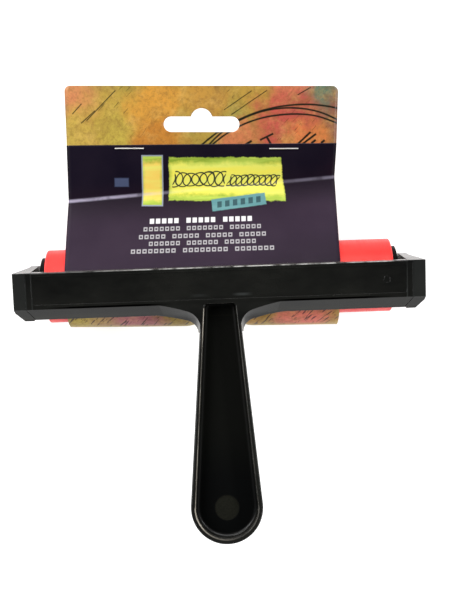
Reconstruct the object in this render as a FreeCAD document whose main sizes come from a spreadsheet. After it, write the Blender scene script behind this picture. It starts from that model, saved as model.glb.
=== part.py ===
import FreeCAD, Part
import math
import os
import re

import Sketcher

# Rubber brayer: a hard ink roller in a one-piece moulded frame, with its retail header card
# still looped round the roller.
# X runs along the roller axle, +Y points away from the handle, +Z is the normal of the flat
# bar face.  The origin is the middle of the roller axis.

SIZES = {
    # roller
    "roller_radius": 16.0,
    "roller_half_length": 75.0,
    "rubber_thickness": 3.5,
    "rubber_edge_round": 0.5,
    "core_wall": 2.0,
    "fit_gap": 0.02,
    "running_gap": 0.05,
    "hub_plug_length": 14.0,
    "hub_flange_radius": 12.7,
    "hub_flange_width": 2.4,
    "hub_nose_radius": 9.4,
    "hub_end": 78.4,
    "bush_radius": 5.0,
    "bush_inner_end": 63.0,
    "bush_outer_end": 78.3,
    "axle_radius": 3.0,
    "axle_half_length": 85.0,
    "axle_chamfer": 0.5,
    "washer_radius": 6.2,
    "washer_thickness": 0.6,
    "washer_start": 78.52,
    "nut_radius": 5.2,
    "nut_flange": 0.5,
    "nut_cap_radius": 3.9,
    "nut_cap_end": 85.9,
    "nut_seat": 82.9,
    # frame moulding
    "bar_half_length": 86.7,
    "face_height": 25.0,
    "face_top": 8.5,
    "face_low": 7.0,
    "bevel_drop": 5.5,
    "flange_depth": 4.6,
    "wall": 3.0,
    "arm_inner": 79.2,
    "arm_boss_half": 82.8,
    "arm_boss_radius": 9.4,
    "corner_cut_width": 3.6,
    "corner_cut_height": 4.3,
    "boss_flat_top": 6.0,
    "boss_top_turn": 2.1,
    "boss_low_turn": 8.7,
    "panel_half_length": 79.0,
    "panel_top_margin": 1.6,
    "panel_low_margin": 1.9,
    "panel_depth": 0.3,
    "panel_corner": 1.5,
    "seam_place": 81.7,
    "seam_width": 0.3,
    "seam_depth": 0.25,
    "mark_place": 70.5,
    "mark_radius": 1.5,
    "mark_depth": 0.1,
    "roller_bay_radius": 19.6,
    "bay_end_radius": 22.0,
    "bay_step": 10.5,
    "roller_bay_half": 78.9,
    # handle
    "handle_tilt": 12.0,
    "handle_run": 84.86,
    "handle_end_radius": 15.0,
    "handle_flare_angle": 4.77,
    "handle_depth": 12.5,
    "handle_back_round": 7.4,
    "handle_rim_round": 0.6,
    "channel_rim_round": 0.3,
    "bar_edge_round": 0.7,
    "bevel_edge_round": 0.35,
    "neck_flare_half": 26.5,
    "neck_flare_run": 10.5,
    "neck_half": 8.5,
    "rim_width": 2.0,
    "root_half": 8.2,
    "root_run": 3.2,
    "channel_lead": 0.6,
    "channel_depth": 7.0,
    "channel_neck_half": 6.5,
    "channel_corner": 2.1,
    "channel_floor_round": 1.8,
    "disc_offset": -0.66,
    "disc_radius": 5.1,
    "disc_depth": 0.3,
    # header card and its staples
    "card_half_width": 59.4,
    "card_shift": 7.8,
    "card_lean": 2.03,
    "card_thickness": 0.45,
    "card_gap": 0.12,
    "card_top": 84.95,
    "card_corner": 2.5,
    "loop_radius": 16.6,
    "flap_leave_angle": 53.0,
    "back_leave_angle": 86.0,
    "crease_out": 40.0,
    "crease_drop": 9.8,
    "flap_top_out": 60.0,
    "flap_slope": 15.0,
    "lap_run": 10.5,
    "header_end": 90.0,
    "header_slope": 10.5,
    "back_belly_out": 27.0,
    "back_belly_drop": 15.0,
    "slot_half_width": 16.6,
    "slot_half_height": 3.35,
    "slot_corner": 3.2,
    "slot_bump_radius": 4.8,
    "slot_place": 68.5,
    "slot_bump_rise": 2.1,
    "staple_wire": 0.28,
    "staple_leg_wire": 0.25,
    "staple_half_crown": 6.4,
    "staple_leg_place": 6.04,
    "staple_clinch": 4.5,
    "staple_inset": 2.0,
    "staple_left": 31.8,
    "staple_right": 36.25,
    "staple_hole": 0.62,
}

SHEET = "Sizes"
SHEET_PREFIX = {True: f"{SHEET}.", False: ""}


def make_sheet(doc):
    """Put every driving size in a cell of its own, under its own alias."""
    sheet = doc.addObject("Spreadsheet::Sheet", SHEET)
    for row, (alias, size) in enumerate(SIZES.items(), start=1):
        sheet.set(f"A{row}", alias)
        sheet.set(f"B{row}", str(size))
        sheet.setAlias(f"B{row}", alias)
    doc.recompute()
    return sheet


def cell(text):
    """Turn a formula in plain size names into a FreeCAD expression on the sheet."""
    return re.sub("[a-z_]+", lambda word: SHEET_PREFIX[word[0] in SIZES] + word[0], text)


def origin_plane(body, role):
    return next(plane for plane in body.Origin.OriginFeatures if plane.Role == role)


def new_body(doc, label):
    body = doc.addObject("PartDesign::Body", label)
    body.Label = label
    return body


def new_sketch(body, name, role, lift=None, tilt=None, slide=None):
    """A sketch on one of the body's own origin planes, moved by formulas of the sheet."""
    sketch = body.newObject("Sketcher::SketchObject", name)
    sketch.AttachmentSupport = [(origin_plane(body, role), "")]
    sketch.MapMode = "FlatFace"
    if tilt:
        turn = FreeCAD.Rotation(FreeCAD.Vector(1, 0, 0), -1)
        sketch.AttachmentOffset = FreeCAD.Placement(FreeCAD.Vector(), turn)
        sketch.setExpression(".AttachmentOffset.Rotation.Angle", cell(tilt))
    if lift:
        sketch.setExpression(".AttachmentOffset.Base.z", cell(lift))
    if slide:
        sketch.setExpression(".AttachmentOffset.Base.y", cell(slide))
    return sketch


def pin(sketch, geometry, point, across, up):
    """Hold one point of a sketch at a place given by two formulas."""
    for kind, formula in (("DistanceX", across), ("DistanceY", up)):
        index = sketch.addConstraint(Sketcher.Constraint(kind, -1, 1, geometry, point, 1.0))
        sketch.setExpression(f"Constraints[{index}]", cell(formula))


def add_polygon(sketch, corners):
    """A closed outline of straight edges; each corner is a pair of formulas."""
    first = sketch.GeometryCount
    count = len(corners)
    ring = [
        FreeCAD.Vector(10 * math.cos(math.tau * i / count), 10 * math.sin(math.tau * i / count), 0)
        for i in range(count)
    ]
    for i in range(count):
        sketch.addGeometry(Part.LineSegment(ring[i], ring[(i + 1) % count]))
    for i in range(count):
        following = first + (i + 1) % count
        sketch.addConstraint(Sketcher.Constraint("Coincident", first + i, 2, following, 1))
    for i, (across, up) in enumerate(corners):
        pin(sketch, first + i, 1, across, up)


def add_circle(sketch, radius, across="0", up="0"):
    index = sketch.addGeometry(Part.Circle(FreeCAD.Vector(1, 1, 0), FreeCAD.Vector(0, 0, 1), 5))
    pin(sketch, index, 3, across, up)
    size = sketch.addConstraint(Sketcher.Constraint("Radius", index, 5.0))
    sketch.setExpression(f"Constraints[{size}]", cell(radius))


def extrude(body, kind, name, sketch, length, both_ways=False, reverse=False):
    """A Pad or Pocket of a sketch, by a formula of the sheet."""
    feature = body.newObject(f"PartDesign::{kind}", name)
    feature.Profile = sketch
    feature.Midplane = both_ways
    feature.Reversed = reverse
    feature.setExpression("Length", cell(length))
    return feature


def turned_body(doc, label, profiles):
    """A body turned about the roller axle from outlines of (place along X, radius)."""
    body = new_body(doc, label)
    for number, corners in enumerate(profiles, start=1):
        sketch = new_sketch(body, f"{label}_outline_{number}", "XY_Plane")
        add_polygon(sketch, corners)
        turn = body.newObject("PartDesign::Revolution", f"{label}_turn_{number}")
        turn.Profile = sketch
        turn.ReferenceAxis = (sketch, ["H_Axis"])
        turn.Angle = 360
        doc.recompute()
    return body


def edges_where(shape, test):
    return [f"Edge{i}" for i, edge in enumerate(shape.Edges, start=1) if test(edge)]


def round_edges(doc, body, name, radius, test):
    """Round the edges of the body's newest feature that pass a test."""
    base = body.Tip
    fillet = body.newObject("PartDesign::Fillet", name)
    fillet.Base = (base, edges_where(base.Shape, test))
    fillet.setExpression("Radius", cell(radius))
    doc.recompute()
    return fillet


def side_sign(side):
    return "-1 * " if side == "left" else ""


# ---------------------------------------------------------------- roller


def rubber_sleeve(doc):
    """The hard rubber tube that carries the ink."""
    inner = "roller_radius - rubber_thickness"
    sleeve = turned_body(doc, "rubber_sleeve", [[
        ("-1 * roller_half_length", inner),
        ("roller_half_length", inner),
        ("roller_half_length", "roller_radius"),
        ("-1 * roller_half_length", "roller_radius"),
    ]])
    outside = SIZES["roller_radius"] - 0.1

    def is_rim(edge):
        return edge.Curve.TypeId == "Part::GeomCircle" and edge.Curve.Radius > outside

    round_edges(doc, sleeve, "rubber_rims", "rubber_edge_round", is_rim)
    return sleeve


def core_tube(doc):
    """The tube inside the rubber."""
    outer = "roller_radius - rubber_thickness - fit_gap"
    inner = "roller_radius - rubber_thickness - core_wall"
    return turned_body(doc, "core_tube", [[
        ("-1 * roller_half_length", inner),
        ("roller_half_length", inner),
        ("roller_half_length", outer),
        ("-1 * roller_half_length", outer),
    ]])


def end_hub(doc, side):
    """A stepped plug that closes one end of the core and carries the bush."""
    sign = side_sign(side)
    bore = "bush_radius"
    plug = "roller_radius - rubber_thickness - core_wall - fit_gap"
    plug_start = f"{sign}( roller_half_length - hub_plug_length )"
    seat = f"{sign}( roller_half_length + fit_gap )"
    flange_end = f"{sign}( roller_half_length + hub_flange_width )"
    nose = f"{sign}hub_end"
    return turned_body(doc, f"end_hub_{side}", [[
        (plug_start, bore),
        (nose, bore),
        (nose, "hub_nose_radius"),
        (flange_end, "hub_flange_radius"),
        (seat, "hub_flange_radius"),
        (seat, plug),
        (plug_start, plug),
    ]])


def bush(doc, side):
    """The plain bearing pressed into a hub; it runs on the axle."""
    sign = side_sign(side)
    bore = "axle_radius + running_gap"
    outer = "bush_radius - fit_gap"
    return turned_body(doc, f"bush_{side}", [[
        (f"{sign}bush_inner_end", bore),
        (f"{sign}bush_outer_end", bore),
        (f"{sign}bush_outer_end", outer),
        (f"{sign}bush_inner_end", outer),
    ]])


# ---------------------------------------------------------------- axle and its fittings


def axle_rod(doc):
    """The steel rod through both arms, chamfered at its ends."""
    chamfer_start = "( axle_half_length - axle_chamfer )"
    tip_radius = "axle_radius - axle_chamfer"
    return turned_body(doc, "axle_rod", [[
        ("-1 * axle_half_length", "0"),
        ("axle_half_length", "0"),
        ("axle_half_length", tip_radius),
        (chamfer_start, "axle_radius"),
        (f"-1 * {chamfer_start}", "axle_radius"),
        ("-1 * axle_half_length", tip_radius),
    ]])


def thrust_washer(doc, side):
    """The washer between a hub nose and an arm."""
    sign = side_sign(side)
    bore = "axle_radius + fit_gap"
    inner_face = f"{sign}washer_start"
    outer_face = f"{sign}( washer_start + washer_thickness )"
    return turned_body(doc, f"thrust_washer_{side}", [[
        (inner_face, bore),
        (outer_face, bore),
        (outer_face, "washer_radius"),
        (inner_face, "washer_radius"),
    ]])


def push_nut_outline(sign):
    """A capped push nut: a thin brim on the arm and a cap over the end of the axle."""
    bore = "axle_radius + fit_gap"
    brim = f"{sign}nut_seat"
    brim_top = f"{sign}( nut_seat + nut_flange )"
    cap_under = f"{sign}( nut_cap_end - nut_flange )"
    cap_shoulder = f"{sign}( nut_cap_end - nut_flange * 2 )"
    return [
        (brim, bore),
        (brim, "nut_radius"),
        (brim_top, "nut_radius"),
        (brim_top, "nut_cap_radius"),
        (cap_shoulder, "nut_cap_radius"),
        (f"{sign}nut_cap_end", "nut_cap_radius - nut_flange * 2"),
        (f"{sign}nut_cap_end", "0"),
        (cap_under, "0"),
        (cap_under, bore),
    ]


def axle_push_nuts(doc):
    """Two push nuts, one on each end of the axle, kept as a group."""
    nuts = [turned_body(doc, f"push_nut_{side}", [push_nut_outline(side_sign(side))])
            for side in ("left", "right")]
    group = doc.addObject("Part::Compound", "axle_push_nuts")
    group.Label = "axle_push_nuts"
    group.Links = nuts
    doc.recompute()
    return group


# ---------------------------------------------------------------- outlines with curves


def peg(sketch, across, up):
    """A construction point held at a place given by two formulas."""
    index = sketch.addGeometry(Part.Point(FreeCAD.Vector(1, 1, 0)), True)
    pin(sketch, index, 1, across, up)
    return index


def join(sketch, first, second, bow=0.0):
    """An edge between two pegs: a line, or an arc that bows to the left by a share of its chord."""
    start = sketch.getPoint(first, 1)
    finish = sketch.getPoint(second, 1)
    chord = finish - start
    if not bow:
        edge = sketch.addGeometry(Part.LineSegment(start, finish))
        ends = (1, 2)
    else:
        middle = (start + finish) * 0.5 + FreeCAD.Vector(-chord.y, chord.x, 0) * bow
        edge = sketch.addGeometry(Part.Arc(start, middle, finish))
        ends = (1, 2) if (sketch.getPoint(edge, 1) - start).Length < 0.001 else (2, 1)
    sketch.addConstraint(Sketcher.Constraint("Coincident", edge, ends[0], first, 1))
    sketch.addConstraint(Sketcher.Constraint("Coincident", edge, ends[1], second, 1))
    return edge


def set_radius(sketch, edge, formula):
    index = sketch.addConstraint(Sketcher.Constraint("Radius", edge, sketch.Geometry[edge].Radius))
    sketch.setExpression(f"Constraints[{index}]", cell(formula))


# ---------------------------------------------------------------- frame moulding


def tilted_sketch(body, name):
    """A sketch on the sloping plane of the handle rim, from the foot of the bar face."""
    return new_sketch(
        body, name, "XY_Plane",
        lift="face_height", tilt="-1 * handle_tilt", slide="-1 * face_low",
    )


def tapered_outline(doc, sketch, neck_half, neck_run, end_radius, corner=None):
    """Two straight flaring sides joined by a round end, all tangent.

    Where a corner is given, both neck corners are rounded off that far along their edges."""
    side_x = f"( {end_radius} ) * cos( handle_flare_angle )"
    side_y = f"-1 * handle_run + ( {end_radius} ) * sin( handle_flare_angle )"
    right = [(neck_half, neck_run), (side_x, side_y)]
    if corner:
        past_corner = f"{neck_half} + {corner} * sin( handle_flare_angle )"
        right[:1] = [
            (f"{neck_half} - {corner}", neck_run),
            (past_corner, f"{neck_run} - {corner} * cos( handle_flare_angle )"),
        ]
    left = [(f"-1 * ( {across} )", up) for across, up in reversed(right)]
    pegs = [peg(sketch, across, up) for across, up in right + left]
    doc.recompute()
    count = len(pegs)
    bows = {len(right) - 1: (0.54, end_radius)}
    if corner:
        corner_arc = (0.2, f"{corner} / tan( ( 90 - handle_flare_angle ) / 2 )")
        bows.update({0: corner_arc, count - 2: corner_arc})
    for i in range(count):
        bow, radius = bows.get(i, (0, None))
        edge = join(sketch, pegs[i], pegs[(i + 1) % count], bow)
        if radius:
            set_radius(sketch, edge, radius)


def handle_grip(doc, body):
    """The solid handle: two flaring sides closed by a round end, with a rounded back."""
    sketch = tilted_sketch(body, "grip_outline")
    half = "handle_end_radius / cos( handle_flare_angle ) - handle_run * tan( handle_flare_angle )"
    tapered_outline(doc, sketch, half, "0", "handle_end_radius")
    extrude(body, "Pad", "grip", sketch, "handle_depth", reverse=True)
    doc.recompute()

    def is_side_edge(edge, depth):
        place = rim_place(edge)
        return abs(place.z + depth) < 0.01 and place.y < -1

    full_depth = SIZES["handle_depth"]
    round_edges(doc, body, "grip_back", "handle_back_round", lambda edge: is_side_edge(edge, full_depth))
    round_edges(doc, body, "grip_rim", "handle_rim_round", lambda edge: is_side_edge(edge, 0))


def rim_place(edge):
    """The middle of an edge, measured on the sloping plane of the handle rim."""
    middle = edge.valueAt((edge.FirstParameter + edge.LastParameter) / 2)
    turn = FreeCAD.Rotation(FreeCAD.Vector(1, 0, 0), -SIZES["handle_tilt"])
    foot = FreeCAD.Vector(0, -SIZES["face_low"], SIZES["face_height"])
    return FreeCAD.Placement(foot, turn).inverse().multVec(middle)


def flare_outline(doc, sketch, wide, narrow, edge_run, neck_run):
    """The plan of the flare where the handle leaves the bar.

    On each side a large arc runs off the bar and a smaller one, tangent to it, runs into the
    side of the handle, close to a quarter of an ellipse."""
    share = "( 1 - cos( 45 ) )"
    joint_x = f"{narrow} + ( {wide} - {narrow} ) * {share}"
    joint_y = f"{edge_run} - ( {edge_run} - {neck_run} ) * {share}"
    corners = [
        (f"-1 * ( {wide} )", "1"),
        (wide, "1"),
        (wide, edge_run),
        (joint_x, joint_y),
        (narrow, neck_run),
        (f"-1 * ( {narrow} )", neck_run),
        (f"-1 * ( {joint_x} )", joint_y),
        (f"-1 * ( {wide} )", edge_run),
    ]
    pegs = [peg(sketch, across, up) for across, up in corners]
    doc.recompute()
    bows = [0, 0, -0.065, -0.12, 0, -0.12, -0.065, 0]
    edges = [join(sketch, pegs[i], pegs[(i + 1) % 8], bow) for i, bow in enumerate(bows)]
    width = f"( {wide} - {joint_x} )"
    drop = f"( {edge_run} - ( {joint_y} ) )"
    for big, small in ((edges[2], edges[3]), (edges[6], edges[5])):
        set_radius(sketch, big, f"( {width} * {width} + {drop} * {drop} ) / ( 2 * {drop} )")
        sketch.addConstraint(Sketcher.Constraint("Tangent", big, small))


def neck_flares(doc, body):
    """The flare between handle and bar; its side slopes like the bevel of the bar."""
    top = tilted_sketch(body, "flare_top")
    flare_outline(doc, top, "neck_flare_half", "neck_half", "0.15", "-1 * neck_flare_run")
    low = new_sketch(
        body, "flare_low", "XY_Plane",
        lift="( face_height - bevel_drop )", slide="-1 * ( face_low + bevel_drop )",
    )
    low_wide = "( neck_flare_half - 2 )"
    low_narrow = "( neck_half + 1.1 )"
    flare_outline(doc, low, low_wide, low_narrow, "0.1", "-1 * ( neck_flare_run - 3 )")
    loft = body.newObject("PartDesign::AdditiveLoft", "flare")
    loft.Profile = top
    loft.Sections = [low]
    loft.Ruled = True
    doc.recompute()


def bar(doc, body):
    """The straight bar: a flat face, a short top flange and a sloping lower wall."""
    sketch = new_sketch(body, "bar_section", "YZ_Plane")
    under = "face_height - wall"
    low_edge = "-1 * ( face_low + bevel_drop )"
    add_polygon(sketch, [
        ("face_top", "face_height - flange_depth"),
        ("face_top", "face_height"),
        ("-1 * face_low", "face_height"),
        (low_edge, "face_height - bevel_drop"),
        (f"{low_edge} + wall", "face_height - bevel_drop"),
        ("-1 * face_low", under),
        ("face_top - wall", under),
        ("face_top - wall", "face_height - flange_depth"),
    ])
    extrude(body, "Pad", "bar", sketch, "bar_half_length * 2", both_ways=True)
    doc.recompute()


def handle_root(doc, body):
    """A block under the bar that backs the start of the channel."""
    sketch = new_sketch(body, "root_section", "YZ_Plane")
    back = "-1 * face_low + root_run"
    front = "-1 * face_low - wall"
    under = "face_height - channel_depth"
    inside = "face_height - wall / 2"
    add_polygon(sketch, [(back, inside), (front, inside), (front, under), (back, under)])
    extrude(body, "Pad", "root", sketch, "root_half * 2", both_ways=True)
    doc.recompute()


def arms(doc, body):
    """Two end cheeks that narrow from the bar to a round boss at the axle."""
    sketch = new_sketch(body, "arm_outline", "YZ_Plane", lift="arm_inner")
    corners = [
        ("face_top", "face_height"),
        ("-1 * face_low", "face_height"),
        ("-1 * ( face_low + bevel_drop )", "face_height - bevel_drop"),
        ("-1 * arm_boss_radius * cos( boss_low_turn )", "-1 * arm_boss_radius * sin( boss_low_turn )"),
        ("arm_boss_radius * cos( boss_top_turn )", "arm_boss_radius * sin( boss_top_turn )"),
    ]
    pegs = [peg(sketch, across, up) for across, up in corners]
    doc.recompute()
    bows = [0, 0, 0, -0.47, 0]
    edges = [join(sketch, pegs[i], pegs[(i + 1) % 5], bow) for i, bow in enumerate(bows)]
    set_radius(sketch, edges[3], "arm_boss_radius")
    cheek = extrude(body, "Pad", "arm", sketch, "bar_half_length - arm_inner")
    doc.recompute()
    mirror = body.newObject("PartDesign::Mirrored", "arm_pair")
    mirror.Originals = [cheek]
    mirror.MirrorPlane = (origin_plane(body, "YZ_Plane"), [""])
    body.Tip = mirror
    doc.recompute()


def arm_taper(doc, body):
    """Slope the outside of both arms in towards the axle."""
    sketch = new_sketch(body, "arm_taper_outline", "XZ_Plane")
    for sign in ("", "-1 * "):
        add_polygon(sketch, [
            (f"{sign}arm_boss_half", "-1 * arm_boss_radius - 1"),
            (f"{sign}arm_boss_half", "boss_flat_top"),
            (f"{sign}bar_half_length", "face_height"),
            (f"{sign}( bar_half_length + wall )", "face_height"),
            (f"{sign}( bar_half_length + wall )", "-1 * arm_boss_radius - 1"),
        ])
    extrude(body, "Pocket", "arm_taper", sketch, "face_height * 2", both_ways=True)
    doc.recompute()


def corner_cuts(doc, body):
    """Cut the two lower corners of the bar aslant, across the height of its bevel."""
    sketch = new_sketch(body, "corner_outline", "XY_Plane")
    low_edge = "-1 * ( face_low + bevel_drop )"
    for sign in ("", "-1 * "):
        add_polygon(sketch, [
            (f"{sign}( bar_half_length - corner_cut_width )", low_edge),
            (f"{sign}bar_half_length", f"{low_edge} + corner_cut_height"),
            (f"{sign}( bar_half_length + wall )", f"{low_edge} + corner_cut_height"),
            (f"{sign}( bar_half_length + wall )", f"{low_edge} - wall"),
            (f"{sign}( bar_half_length - corner_cut_width )", f"{low_edge} - wall"),
        ])
    extrude(body, "Pocket", "corner_cuts", sketch, "face_height * 2", both_ways=True)
    doc.recompute()


def rounded_rectangle(doc, sketch, half, low, high, radius):
    """A rectangle with round corners, symmetric about the vertical axis."""
    corners = []
    for across, up, into_x, into_y in (
        (half, low, "-", "+"), (half, high, "-", "-"),
    ):
        near = (across, f"{up} {into_y} {radius}")
        far = (f"{across} {into_x} {radius}", up)
        corners += [far, near] if into_y == "+" else [near, far]
    mirrored = [(f"-1 * ( {across} )", up) for across, up in reversed(corners)]
    pegs = [peg(sketch, across, up) for across, up in corners + mirrored]
    doc.recompute()
    for i in range(8):
        bow = -0.207 if i % 2 == 0 else 0
        edge = join(sketch, pegs[i], pegs[(i + 1) % 8], bow)
        if bow:
            set_radius(sketch, edge, radius)


def face_panel(doc, body):
    """The shallow sunk panel of the bar face."""
    sketch = new_sketch(body, "panel_outline", "XY_Plane", lift="face_height")
    low = "-1 * face_low + panel_low_margin"
    rounded_rectangle(doc, sketch, "panel_half_length", low, "face_top - panel_top_margin", "panel_corner")
    extrude(body, "Pocket", "panel", sketch, "panel_depth")
    doc.recompute()


def parting_lines(doc, body):
    """Fine lines that set off both ends of the bar, down the face and aslant on the bevel."""
    face = new_sketch(body, "face_line", "XY_Plane", lift="face_height")
    slope = new_sketch(
        body, "bevel_line", "XY_Plane",
        lift="face_height", tilt="45", slide="-1 * face_low",
    )
    bevel_length = "bevel_drop / cos( 45 )"
    for sign in ("", "-1 * "):
        inner = f"{sign}( seam_place - seam_width )"
        outer = f"{sign}seam_place"
        add_polygon(face, [(inner, "-1 * face_low"), (outer, "-1 * face_low"),
                           (outer, "face_top"), (inner, "face_top")])
        add_polygon(slope, [
            (inner, "0"),
            (outer, "0"),
            (f"{sign}( seam_place - corner_cut_width )", f"-1 * {bevel_length}"),
            (f"{sign}( seam_place - corner_cut_width - seam_width )", f"-1 * {bevel_length}"),
        ])
    extrude(body, "Pocket", "face_lines", face, "seam_depth")
    extrude(body, "Pocket", "bevel_lines", slope, "seam_depth")
    doc.recompute()


def ring_mark(doc, body):
    """A small moulded ring near the right end of the panel."""
    sketch = new_sketch(body, "ring_outline", "XY_Plane", lift="face_height - panel_depth")
    for radius in ("mark_radius", "mark_radius - seam_width"):
        add_circle(sketch, radius, "mark_place", "( face_top - face_low ) / 2")
    extrude(body, "Pocket", "ring", sketch, "mark_depth")
    doc.recompute()


def handle_channel(doc, body):
    """The long open channel in the handle, with a scooped floor."""
    sketch = tilted_sketch(body, "channel_outline")
    tapered_outline(
        doc, sketch, "channel_neck_half", "channel_lead", "( handle_end_radius - rim_width )",
        corner="channel_corner",
    )
    extrude(body, "Pocket", "channel", sketch, "channel_depth")
    doc.recompute()
    depth = SIZES["channel_depth"]

    def is_floor_edge(edge):
        place = rim_place(edge)
        inside = abs(place.x) < SIZES["handle_end_radius"] - 1
        return abs(place.z + depth) < 0.01 and inside

    round_edges(doc, body, "channel_floor", "channel_floor_round", is_floor_edge)


def channel_disc(doc, body):
    """The small sunk disc in the floor near the end of the handle."""
    sketch = new_sketch(
        body, "disc_outline", "XY_Plane",
        lift="face_height - channel_depth * cos( handle_tilt )",
        tilt="-1 * handle_tilt",
        slide="-1 * face_low - channel_depth * sin( handle_tilt )",
    )
    add_circle(sketch, "disc_radius", "0", "-1 * handle_run + disc_offset")
    extrude(body, "Pocket", "disc", sketch, "disc_depth")
    doc.recompute()


def roller_bay(doc, body):
    """Clear the round space in which the roller turns, wider on both sides of the handle."""
    sketch = new_sketch(body, "bay_outline", "XY_Plane")
    add_polygon(sketch, [
        ("-1 * roller_bay_half", "0"),
        ("roller_bay_half", "0"),
        ("roller_bay_half", "bay_end_radius"),
        ("bay_step", "bay_end_radius"),
        ("bay_step", "roller_bay_radius"),
        ("-1 * bay_step", "roller_bay_radius"),
        ("-1 * bay_step", "bay_end_radius"),
        ("-1 * roller_bay_half", "bay_end_radius"),
    ])
    bay = body.newObject("PartDesign::Groove", "roller_bay")
    bay.Profile = sketch
    bay.ReferenceAxis = (sketch, ["H_Axis"])
    bay.Angle = 360
    doc.recompute()


def axle_holes(doc, body):
    sketch = new_sketch(body, "axle_hole_outline", "YZ_Plane")
    add_circle(sketch, "axle_radius + fit_gap")
    extrude(body, "Pocket", "axle_holes", sketch, "bar_half_length * 3", both_ways=True)
    doc.recompute()


def soft_edges(doc, body):
    """Round the inner rim of the channel and the long edges of the bar between the arms."""

    def is_channel_rim(edge):
        place = rim_place(edge)
        inside = abs(place.x) < SIZES["handle_end_radius"] * 2 / 3
        return abs(place.z) < 0.01 and place.y < -SIZES["handle_run"] / 3 and inside

    def is_bar_edge(edge, y, z):
        middle = edge.valueAt((edge.FirstParameter + edge.LastParameter) / 2)
        along_x = edge.BoundBox.XLength > edge.Length * 0.999
        on_line = math.hypot(middle.y - y, middle.z - z) < 0.01
        return along_x and on_line and edge.Length > SIZES["bar_half_length"] / 2

    top = (SIZES["face_top"], SIZES["face_height"])
    foot = (-SIZES["face_low"] - SIZES["bevel_drop"], SIZES["face_height"] - SIZES["bevel_drop"])
    round_edges(doc, body, "channel_rim", "channel_rim_round", is_channel_rim)
    round_edges(doc, body, "bar_edge", "bar_edge_round", lambda edge: is_bar_edge(edge, *top))
    round_edges(doc, body, "bevel_edge", "bevel_edge_round", lambda edge: is_bar_edge(edge, *foot))


def frame(doc):
    """The one-piece moulding: bar, two arms and handle."""
    body = new_body(doc, "frame")
    handle_grip(doc, body)
    neck_flares(doc, body)
    bar(doc, body)
    handle_root(doc, body)
    arms(doc, body)
    for step in (arm_taper, corner_cuts, roller_bay, axle_holes, handle_channel, channel_disc,
                 soft_edges, face_panel, parting_lines, ring_mark):
        step(doc, body)
    return body


# ---------------------------------------------------------------- header card

FLAP_TOP = "-1 * crease_drop + ( flap_top_out - crease_out ) * tan( flap_slope )"


def card_loop(doc, body):
    """The part of the strip that is curled round the roller."""
    outer = "( loop_radius + card_thickness )"
    front, back = "flap_leave_angle", "back_leave_angle"
    ring = new_sketch(body, "loop_outline", "YZ_Plane")
    ends = [
        (f"loop_radius * cos( {front} )", f"loop_radius * sin( {front} )"),
        (f"{outer} * cos( {front} )", f"{outer} * sin( {front} )"),
        (f"{outer} * cos( {back} )", f"-1 * {outer} * sin( {back} )"),
        (f"loop_radius * cos( {back} )", f"-1 * loop_radius * sin( {back} )"),
    ]
    pegs = [peg(ring, across, up) for across, up in ends]
    doc.recompute()
    join(ring, pegs[0], pegs[1])
    set_radius(ring, join(ring, pegs[1], pegs[2], bow=-1.2), outer)
    join(ring, pegs[2], pegs[3])
    set_radius(ring, join(ring, pegs[3], pegs[0], bow=1.2), "loop_radius")
    extrude(body, "Pad", "loop", ring, "card_half_width * 3", both_ways=True)
    doc.recompute()


def card_strip(doc, body, name, line, starts):
    """A bent strip of card below a line of (out, height); it starts at the end of the loop."""
    sketch = new_sketch(body, f"{name}_outline", "YZ_Plane")
    upper_start, lower_start = starts
    lower = [(out, f"{height} - card_thickness") for out, height in reversed(line)]
    add_polygon(sketch, [upper_start] + line + lower + [lower_start])
    extrude(body, "Pad", name, sketch, "card_half_width * 3", both_ways=True)
    doc.recompute()


def card_sketch(body, name):
    """A plan sketch along the card, which leans a little from the brayer."""
    sketch = new_sketch(body, name, "XY_Plane")
    sketch.AttachmentOffset = FreeCAD.Placement(
        FreeCAD.Vector(), FreeCAD.Rotation(FreeCAD.Vector(0, 0, 1), -1))
    sketch.setExpression(".AttachmentOffset.Rotation.Angle", cell("-1 * card_lean"))
    sketch.setExpression(".AttachmentOffset.Base.x", cell("-1 * card_shift * cos( card_lean )"))
    sketch.setExpression(".AttachmentOffset.Base.y", cell("card_shift * sin( card_lean )"))
    return sketch


def trim_card(doc, body):
    """Trim the card to its plan and cut the hang slot and the staple holes."""
    plan = card_sketch(body, "card_plan")
    far = "card_top * 2"
    add_polygon(plan, [(f"-1 * {far}", f"-1 * {far}"), (far, f"-1 * {far}"),
                       (far, far), (f"-1 * {far}", far)])
    rounded_rectangle(doc, plan, "card_half_width", "-1 * card_half_width", "card_top", "card_corner")
    extrude(body, "Pocket", "card_trim", plan, far, both_ways=True)
    doc.recompute()
    slot = card_sketch(body, "slot_outline")
    rounded_rectangle(
        doc, slot, "slot_half_width",
        "( slot_place - slot_half_height )", "( slot_place + slot_half_height )", "slot_corner",
    )
    extrude(body, "Pocket", "slot", slot, far, both_ways=True)
    bump = card_sketch(body, "slot_bump_outline")
    add_circle(bump, "slot_bump_radius", "0", "slot_place + slot_bump_rise")
    extrude(body, "Pocket", "slot_bump", bump, far, both_ways=True)
    holes = card_sketch(body, "staple_hole_outline")
    for place in ("-1 * staple_left", "staple_right"):
        for leg in ("-", "+"):
            add_circle(holes, "staple_hole", f"{place} {leg} staple_leg_place",
                       "flap_top_out - staple_inset")
    extrude(body, "Pocket", "staple_holes", holes, far, both_ways=True)
    doc.recompute()


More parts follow.
